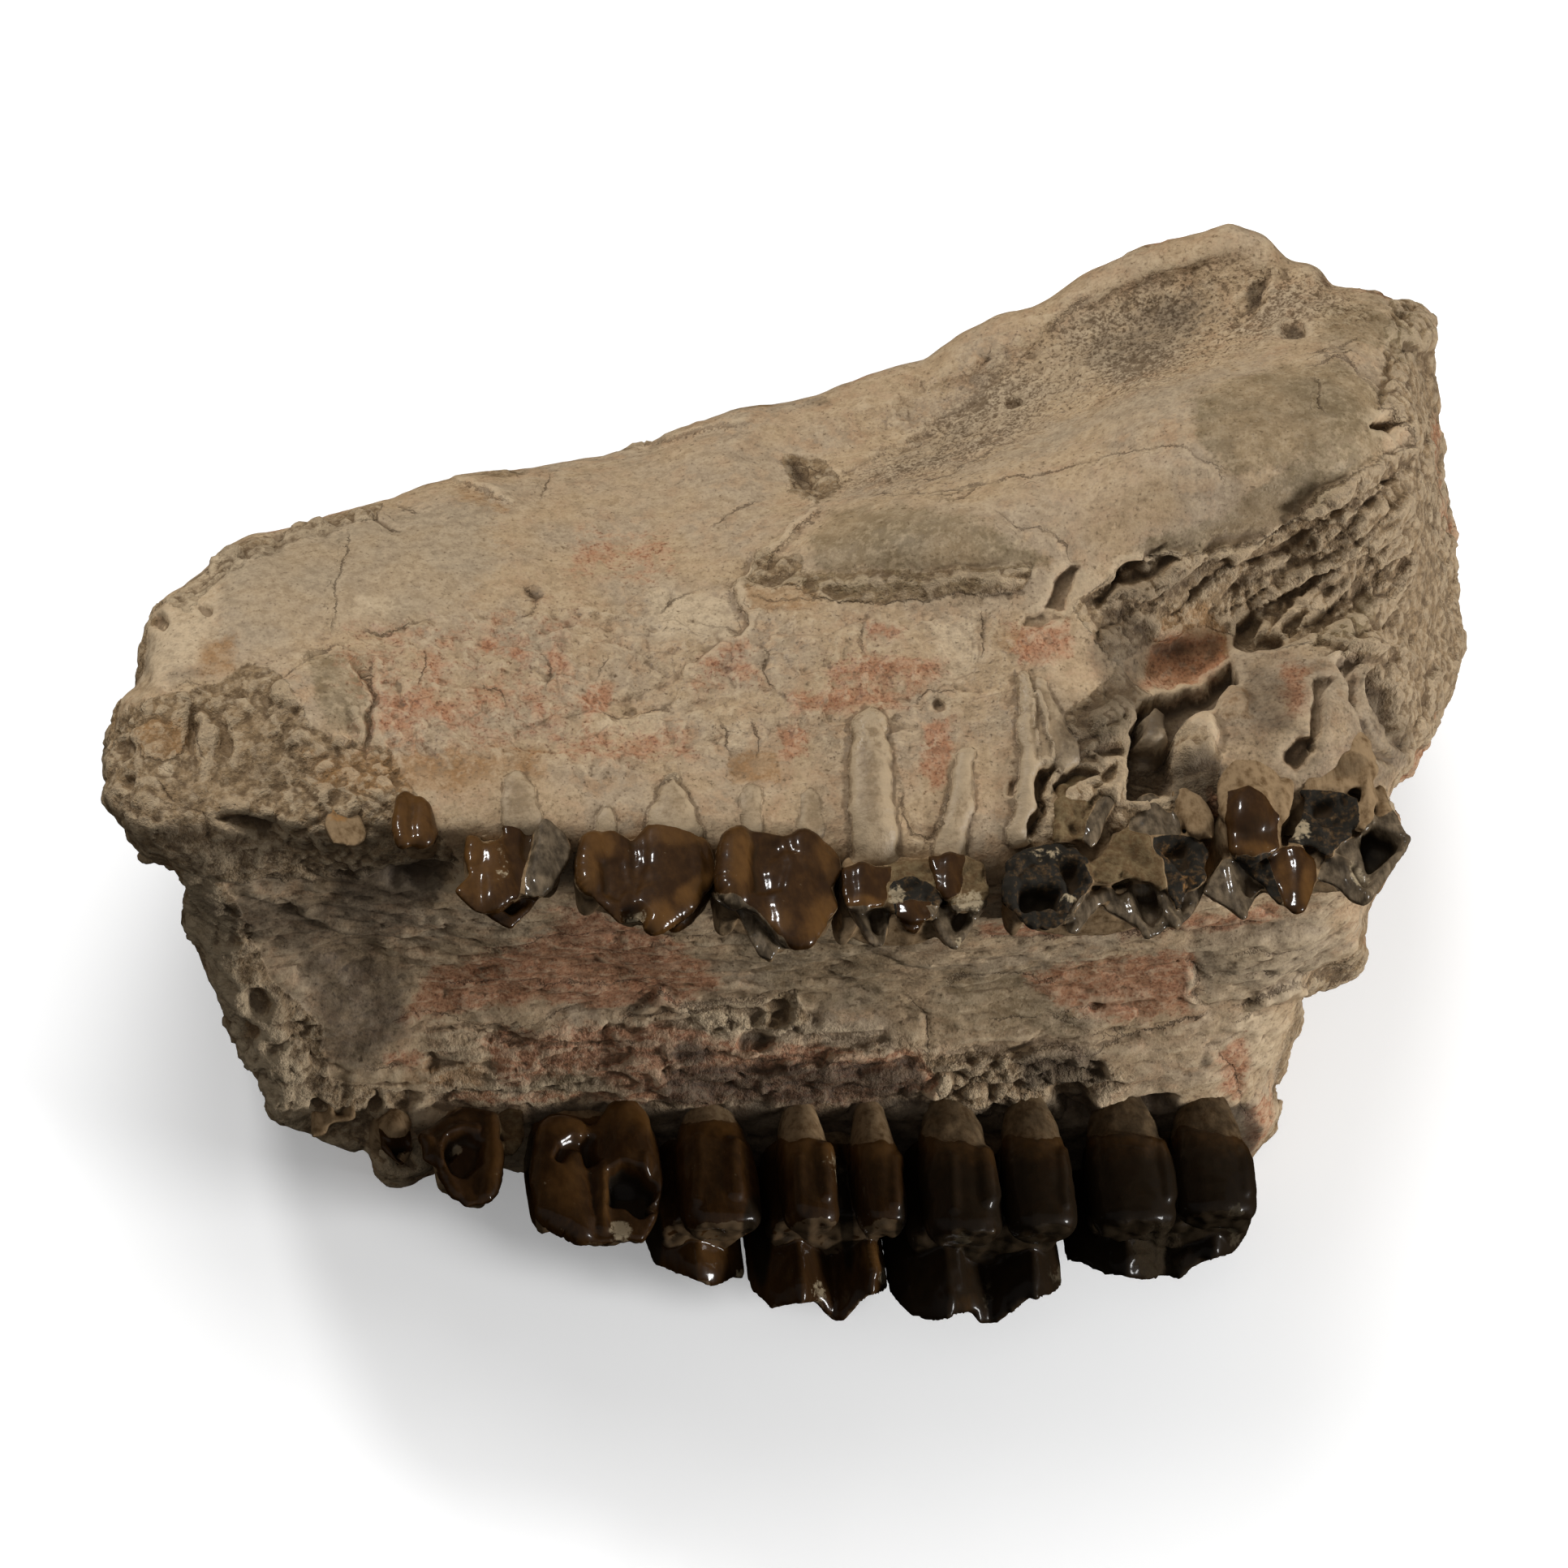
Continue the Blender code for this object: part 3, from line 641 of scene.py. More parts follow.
# Broken edges of plates: height, how far the rise reaches, and the points, with the higher plate
# on the left of the way they run.
EDGES = (
    (0.75, 3.0, (-3, 23.5), (-4.3, 21), (-5, 19.5), (-4.2, 17.5), (-3.6, 16), (-4.3, 14.9), (-7, 14),
     (-10, 12), (-11.2, 10)),
    (0.7, 2.0, (-34, 31), (-31, 29.8), (-28.5, 29), (-27, 28)),
    (0.6, 1.5, (-15, 34), (-8, 35.7), (-3, 37)),
    (0.8, 2.2, (-20.5, 16.7), (-22, 15.3), (-25, 15.1)),
    (0.5, 2.6, (26, 22), (20, 21.3), (12, 20.5), (5, 20.8), (-0.5, 20.2), (-4.5, 19.8)),
    (0.22, 1.4, (21, 19.6), (16, 19.1), (10, 18.6), (4, 19.2)),
    (0.8, 1.8, (-3, 21), (-0.5, 23.8), (4, 28)),
    (0.4, 1.8, (4, 30.8), (8, 32.6), (12, 34.8), (16, 37.4), (20, 40.3)),
    (0.3, 1.6, (20, 41.5), (26, 45), (30, 48.5), (35, 50.5), (40, 52.5), (46, 53.8)),
    (1.0, 2.2, (60.3, 40.5), (60.5, 38), (62.5, 36.5), (63.3, 34), (60.5, 33), (57, 30.8), (54, 29.5),
     (51, 26.5), (48, 24.5), (44, 23.8), (40, 23.3), (35, 23)),
    (1.0, 2.0, (-55, -11), (-50, -12), (-45, -14.3), (-41, -15), (-37, -16)),
    (0.9, 1.4, (-1.5, -21), (-5, -22), (-8, -22.2), (-11, -22.4), (-12.6, -21.4), (-16, -23.5)),
    (0.7, 1.6, (43, -22.7), (41.3, -21.3), (42, -20.3), (41.3, -19), (40.6, -17.4)),
    (1.2, 2.0, (32.5, -29.4), (31, -28.4), (29.5, -27.2), (27, -26.8), (24.5, -27.3), (20, -28),
     (16, -28.6)),
    (1.1, 2.0, (58, -19.4), (54, -19.8), (50, -20.4), (46, -22.6)),
)
for height, reach, *line in EDGES:
    side.plate_edge(height, reach, line)

# Holes and hollows (depth above 0) and lumps (below 0): middle, half sizes, turn, depth and how
# soft the edge is.
HOLES = (
    ((-63, 16.3), (0.9, 0.7), 0, 0.9, 0.3), ((-58.5, 17.6), (0.7, 0.6), 0, 0.7, 0.3),
    ((-54.5, 23.3), (0.8, 0.6), 0, 0.6, 0.3), ((-51, 24.7), (0.7, 0.5), 0, 0.5, 0.3),
    ((-66.5, 3.7), (0.8, 1.0), 0, 0.9, 0.3), ((-66, 0.3), (0.9, 0.8), 0, 0.9, 0.3),
    ((-53.7, -4.3), (3.0, 0.9), -20, 1.8, 0.35), ((-59.4, 5.5), (0.6, 2.2), 4, 0.9, 0.5),
    ((-56.3, 4.5), (0.6, 1.7), 0, 0.8, 0.5), ((-14.8, 9.8), (3.9, 2.6), 12, 0.35, 0.25),
    ((-15.2, 7.9), (0.6, 0.5), 0, 0.6, 0.4), ((-4.5, 2.2), (1.4, 1.2), 30, 0.6, 0.9),
    ((-25.2, 19), (0.9, 0.4), -20, 0.4, 0.6), ((2.0, 31.4), (0.9, 1.6), 30, 0.5, 0.7),
    ((-2, 21.5), (2.6, 1.5), -10, 0.8, 0.4), ((5.5, 19.4), (1.6, 0.5), 5, 0.5, 0.6),
    ((15.6, 7.8), (0.5, 0.5), 0, 0.7, 0.4), ((23, 39.4), (0.8, 0.7), 0, 1.2, 0.3),
    ((51.6, 46.2), (1.1, 0.9), 20, 1.0, 0.4), ((63.7, 44.4), (0.9, 0.8), 0, 1.4, 0.3),
    ((60.8, 36.5), (1.4, 0.6), 0, 1.2, 0.4), ((61.8, 4.8), (0.7, 1.6), 20, 0.9, 0.4),
    ((57.5, 20.5), (3.5, 1.6), 22, 0.9, 0.5), ((40.2, 12.6), (4.2, 2.3), 14, 1.5, 0.6),
    ((-53.2, -22), (1.0, 1.6), 30, 1.2, 0.4), ((-54, -25.3), (0.8, 1.2), 0, 0.9, 0.4),
    ((-53, -29), (0.9, 0.6), 0, 0.7, 0.4), ((-47, -32.4), (0.7, 0.6), 0, 1.2, 0.3),
    ((-41.4, -32.4), (0.9, 0.5), 30, 0.9, 0.3), ((-38.6, -32), (1.6, 0.9), 10, 0.7, 0.4),
    ((-38.8, -37.6), (0.9, 1.3), 20, 1.6, 0.4), ((-43, -17.4), (3.8, 1.6), -8, 0.8, 0.5),
    ((-37, -9.4), (4.2, 1.0), 4, 2.4, 0.35), ((-3.2, -26.3), (1.8, 1.2), 8, 1.3, 0.3),
    ((-0.4, -23), (1.4, 0.9), -20, 0.8, 0.5), ((31.7, -29.3), (0.9, 0.9), -30, 1.6, 0.35),
    ((31.5, -22.3), (0.7, 0.5), 10, 0.7, 0.4), ((29.3, -32.5), (2.2, 1.1), -30, 1.8, 0.4),
    ((36.5, -32.6), (3.4, 0.8), 8, 1.8, 0.35),
)
LUMPS = (
    ((-58, 4), (0.9, 3.2), 2, 0.9, 0.5), ((-50, 8.5), (2.2, 1.2), 10, 0.5, 0.5),
    ((17.5, 42), (2.2, 1.0), 20, 0.6, 0.6), ((-20, 2), (3.5, 1.6), 0, 0.5, 0.7),
    ((33, 6), (2.0, 2.5), -15, 1.4, 0.4), ((41.8, 4.5), (1.8, 2.5), -10, 1.6, 0.4),
    ((45.4, 8.3), (1.7, 1.5), 0, 0.8, 0.4), ((59, 13.4), (1.8, 0.6), -10, 1.0, 0.4),
    ((49, -16.6), (5.0, 1.8), 8, 0.9, 0.4), ((-11.6, -27.5), (0.6, 1.6), 15, 0.6, 0.5),
    ((-12.6, -30.3), (0.6, 1.4), 20, 0.6, 0.5), ((15.6, -31), (0.9, 1.4), -35, 0.9, 0.4),
    ((-2.2, -31), (0.5, 0.7), 0, 0.6, 0.4),
)
for centre, half, turn, depth, edge in HOLES:
    side.hollow(centre, half, turn, depth, edge)
for centre, half, turn, height, edge in LUMPS:
    side.hollow(centre, half, turn, -height, edge)

# Holes with an outline of their own: depth, and the outline.
SUNK = (
    (3.4, (35.2, 4.2), (38.8, 4), (39.6, 2), (39.2, -1.2), (35, -1.5), (34.6, 1)),
    (3.0, (34.8, 5), (36.2, 8.2), (40, 9.6), (45, 12.6), (45.6, 10.4), (43, 8), (40, 7), (38.8, 3.8),
     (38.4, 7), (37.4, 8.2), (36.2, 6.6), (35.6, 3.9)),
    (1.5, (45.4, 14), (46.2, 16.4), (47.6, 17.2), (48.2, 16.4), (47.6, 15), (50, 15.1), (50, 14.5),
     (47, 13.6)),
    (1.2, (50, 15.4), (50.2, 16.4), (52.8, 17.2), (52.2, 16), (50.8, 15.4)),
    (1.8, (50.3, 3.2), (51.6, 4.8), (53.4, 4.6), (54, 3.6), (52.6, 1.8), (51.6, 1), (50.6, 2)),
    (1.2, (53.6, 11), (55.4, 10.6), (54.2, 9), (54.1, 5), (53.4, 3.4), (53, 6)),
    (2.2, (59, 11.2), (60.6, 11.8), (62, 8.6), (62.5, 5.6), (61.6, 5), (60.3, 6.4), (59.4, 8.6)),
    (1.4, (56, 12.4), (56.6, 13.4), (58.2, 12.9), (58.6, 10.6), (58.4, 8.6), (57.9, 7.4), (57.2, 8.4),
     (56.9, 10.4)),
    (1.0, (58.2, 6.6), (58.9, 6.6), (60.4, 4), (61.6, 2.2), (60.9, 1.7), (59.6, 3.6)),
    (2.2, (25.6, 1.4), (27.2, 1.9), (26.6, -0.6), (26.4, -3), (25.4, -5.2), (24.2, -5.6), (24.4, -4.4),
     (25.6, -2)),
    (1.4, (27.4, 0), (28, 1), (29.5, 2), (31.5, 1.2), (30.4, 0.8), (28.6, 0), (28, -1.2)),
    (0.9, (22.7, 0.4), (23.4, 0.6), (23.5, -0.8), (22.7, -1)),
    (0.9, (31, 3.2), (34.8, 3.8), (34.4, 2.9), (32, 2.6)),
    (0.9, (32, 1.4), (33.4, 2), (33, 0), (32.2, 0)),
    (1.0, (26.6, 17.6), (27.2, 20.4), (28.6, 21.8), (29.9, 21.4), (29, 19.6), (28.4, 17.8)),
    (0.6, (24, 16.2), (24.6, 17.3), (28, 17.6), (28.3, 16.8), (26, 16)),
    (1.8, (33.2, 20.2), (34.4, 22.2), (38, 23.2), (39.8, 22.8), (38, 21.4), (35.4, 20.2)),
    (1.6, (59.4, 36.2), (59.8, 37), (61.6, 37.2), (62.3, 36.6), (61, 36)),
)
for depth, *outline in SUNK:
    side.sink(depth, outline)

# Roots of the left teeth that show through the worn bone over them: the radii at the tip and at
# the neck, the height, and the points from tip to neck.
ROOTS = (
    ((2.0, 2.5), 2.1, (8.5, 5.4), (8.8, 0), (9, -8)),
    ((1.0, 1.9), 1.4, (18.2, 3), (17.8, -1), (16.8, -7)),
    ((0.9, 1.5), 1.4, (24.1, 10.6), (24.6, 4), (24.8, -2.5), (23.6, -5)),
    ((0.8, 1.5), 1.1, (25.9, 9.8), (27.3, 6), (28.4, 2.8)),
    ((0.6, 0.9), 0.8, (25.4, 9), (26.1, 5), (26.4, 2.4)), ((1.1, 3.0), 1.7, (-11.4, -0.1), (-11.1, -4.6)),
    ((0.9, 1.4), 0.9, (-18, -2.6), (-17.8, -5)), ((1.5, 2.2), 0.8, (-26.6, -0.4), (-26.2, -3.6)),
    ((1.1, 1.3), 0.4, (-3.4, -1), (-3.2, -4.6)), ((1.1, 1.3), 0.35, (2.8, -1.4), (2.6, -4.8)),
    ((0.9, 1.5), 1.8, (37.4, 8), (37, 4)),
)
paint = side.paint
root_share = np.zeros(side.count)
for radii, height, *line in ROOTS:
    near, bulge, away = side.swell(radii, 0.75 * height, line)
    root_share[near] = np.maximum(root_share[near], step(0, 0.35, bulge))
    gap = step(0.86, 1, away) * (1 - step(1, 1.16, away))
    side.lift[near] -= 0.13 * gap
    off = (away - 1) * (radii[0] + radii[1]) / 2
    closer = np.abs(off) < np.minimum(0.5, np.abs(paint["seam"][near]))
    paint["seam"][near[closer]] = off[closer]
    paint["seam_dark"][near[closer]] = 0.32 * (1 - step(0.3, 0.5, np.abs(off[closer])))
side.paint["dark"] *= 1 - root_share
side.paint["root"] = root_share

# Where the rough sandstone shows, as outlines on the drawn side.
STONE_AREAS = (
    ((70, 60), (61, 52), (61.5, 48), (60.3, 40.5), (60.5, 38), (62.5, 36.5), (63.3, 34), (60.5, 33),
     (57, 30.8), (54, 29.5), (51, 26.5), (48, 24.5), (40, 23.3), (34, 22), (29, 18), (33, 12), (42, 16),
     (48, 14), (54, 14), (58, 13), (63, 2), (70, 0)),
    ((-70, 2), (-66, 8), (-61, 9), (-57, 10), (-54, 12.4), (-50.6, 11), (-47.6, 6), (-44, 4.4), (-40, 4),
     (-36, -3), (-33, -8), (-40, -9), (-60, -10), (-70, -5)),
    ((-70, -8), (-57, -9), (-54, -14), (-52, -20), (-47, -24), (-46, -30), (-38, -31), (-38, -36),
     (-30, -38), (-34, -42), (-60, -42)),
    ((-57, 21), (-48, 25), (-41, 27), (-40, 30), (-60, 30), (-66, 20), (-60, 17)),
    ((-32, 31), (-27, 31.6), (-24, 33), (-26, 36), (-36, 34)),
    ((-4, 19.5), (1, 19.5), (2, 23), (-3, 23.5)),
    ((0, 33.6), (4.4, 33), (5.6, 30.4), (3, 28.4), (0.6, 29.6)),
    ((-3, 21.4), (6, 21.2), (16, 21.4), (25, 22), (24, 19.6), (12, 18.4), (3, 18.6)),
    ((-4, -22.5), (-10, -22.5), (-8, -25), (-1, -25), (3, -24), (1, -21)),
    ((14, -28), (24, -27.5), (31, -28.5), (33, -31), (28, -34), (16, -33)),
    ((24, 3), (24, -8), (30, -8), (44, -6), (44, 3), (34, 12)),
)
for outline in STONE_AREAS:
    side.dab("stone", *side.in_outline(outline, 0.6))
points = side.points
wander = side.wander
turned_up = side.turned_up
roof_like = step(0.35, 0.8, side.normals[:, 1])
stone_behind = step(0.25, 0.6, 0.62 + 0.55 * clouds(points, 19, 31, 2) - 0.55 * roof_like)
stone_behind = np.maximum(stone_behind, step(56, 62, points[:, 0] + 2 * wander[:, 0]))
paint["stone"] = paint["stone"] * turned_up + stone_behind * (1 - turned_up)
paint["stone"] *= 1 - root_share

# The grain of each part of the surface, from the broadest waves to the finest grit.
stone = paint["stone"]
slab_way = math.radians(35)
along = points[:, 0] * math.cos(slab_way) + points[:, 1] * math.sin(slab_way)
across = points[:, 1] * math.cos(slab_way) - points[:, 0] * math.sin(slab_way)
slabs = np.column_stack([along / 4.5, across, points[:, 2] / 1.5])
slab_edge, slab_number = chips(slabs, 2.1, 51)
near, rear = side.in_outline(((34, 23), (48, 25), (63, 34), (63.5, 8), (54, 14), (42, 17), (30, 18)), 1.0)
slab_area = np.zeros(side.count)
slab_area[near] = rear
side.lift += slab_area * (1.5 * (slab_number - 0.5) + 0.35 * step(0, 0.25, slab_edge) - 0.3)
chip_edge, chip_number = chips(points + 0.7 * wander[:, :1], 3.4, 61)
grit_edge, grit_number = chips(points, 1.25, 62)
crumbs = (0.8 * (chip_number - 0.5) + 0.3 * step(0, 0.3, chip_edge)
          + 0.42 * (grit_number - 0.5) + 0.18 * step(0, 0.3, grit_edge) - 0.25)
waves = clouds(points, 13, 71, 2)
side.lift += stone * (0.55 * clouds(points, 6, 72, 3) + crumbs * (0.45 + 0.55 * step(-0.3, 0.5, waves)))
side.lift += (1 - stone) * (0.32 * waves + 0.13 * clouds(points, 3.1, 74, 2))

# The hollow behind the brow, with its own fine grain that runs up and back.
FOSSA = ((3, 30), (8, 32), (20, 41), (30, 48.5), (40, 52.5), (48, 54), (58, 50), (60, 47), (50, 46),
         (43, 42.5), (33, 39), (27, 37.5), (19, 32.7), (13, 30.5))
near, fossa = side.in_outline(FOSSA, 1.7)
socket = np.zeros(side.count)
socket[near] = fossa
grain_way = math.radians(27)
along = points[:, 0] * math.cos(grain_way) + points[:, 1] * math.sin(grain_way)
across = points[:, 1] * math.cos(grain_way) - points[:, 0] * math.sin(grain_way)
grain_at = np.column_stack([along / 2.6, across, points[:, 2]])
side.lift += socket * (0.16 * clouds(grain_at, 1.3, 81, 2) + 0.22 * clouds(points, 0.9, 82, 2) - 0.45)
paint["socket"] = socket

# Flaking bone on the cheek: low scales, one over another.
FLAKY_AREAS = (
    ((-46, 12), (-40, 17), (-24, 18), (-12, 20), (-4, 15), (-4, 2), (-20, 0), (-46, 3)),
    ((-4, 18), (22, 18), (28, 15), (24, 4), (12, 2), (-4, 4)),
    ((4, 36), (16, 43), (30, 50), (20, 40), (10, 34)),
)
flaky = np.zeros(side.count)
for outline in FLAKY_AREAS:
    near, share = side.in_outline(outline, 2.0)
    flaky[near] = np.maximum(flaky[near], share)
for size, rise, seed in ((4.2, 0.28, 65), (1.9, 0.18, 66)):
    _, flake_number = chips(points * np.array((0.7, 1, 1)) + 0.8 * wander[:, :1], size, seed)
    side.lift += flaky * rise * (flake_number - 0.5) * (1 - stone)
upright = points * np.array((1, 0.45, 1))
side.lift += flaky * (0.10 * clouds(points, 1.0, 67, 2) + 0.20 * clouds(upright, 1.5, 68, 2))
paint["flaky"] = flaky

# The palate: ripples along the jaw, and broken ledges beside the right teeth.
below = step(-9, -10, points[:, 1]) * turned_up
palate_at = np.column_stack([points[:, 0] / 3.2, points[:, 1], points[:, 2]])
ripples = 0.32 * clouds(palate_at, 2.6, 84, 3) + 0.12 * clouds(points, 1.4, 85, 2)
side.lift += below * (1 - stone) * ripples
palate_edge, palate_number = chips(palate_at + 0.5 * wander[:, :1], 1.9, 86)
side.lift += below * (1 - stone) * (0.34 * (palate_number - 0.5) + 0.12 * step(0, 0.3, palate_edge))
LEDGES = ((-36, -25), (-20, -24.6), (-4, -23), (4, -24), (15, -26.4), (31, -27), (35, -30), (34, -33.4),
          (-36, -33.4))
near, share = side.in_outline(LEDGES, 1.0)
rugged = np.zeros(side.count)
rugged[near] = share
ledges = 0.3 * crumbs + 0.7 * (palate_number - 0.5) + 0.45 * clouds(palate_at, 1.6, 87, 3) - 0.3
side.lift += rugged * below * ledges
paint["rugged"] = rugged
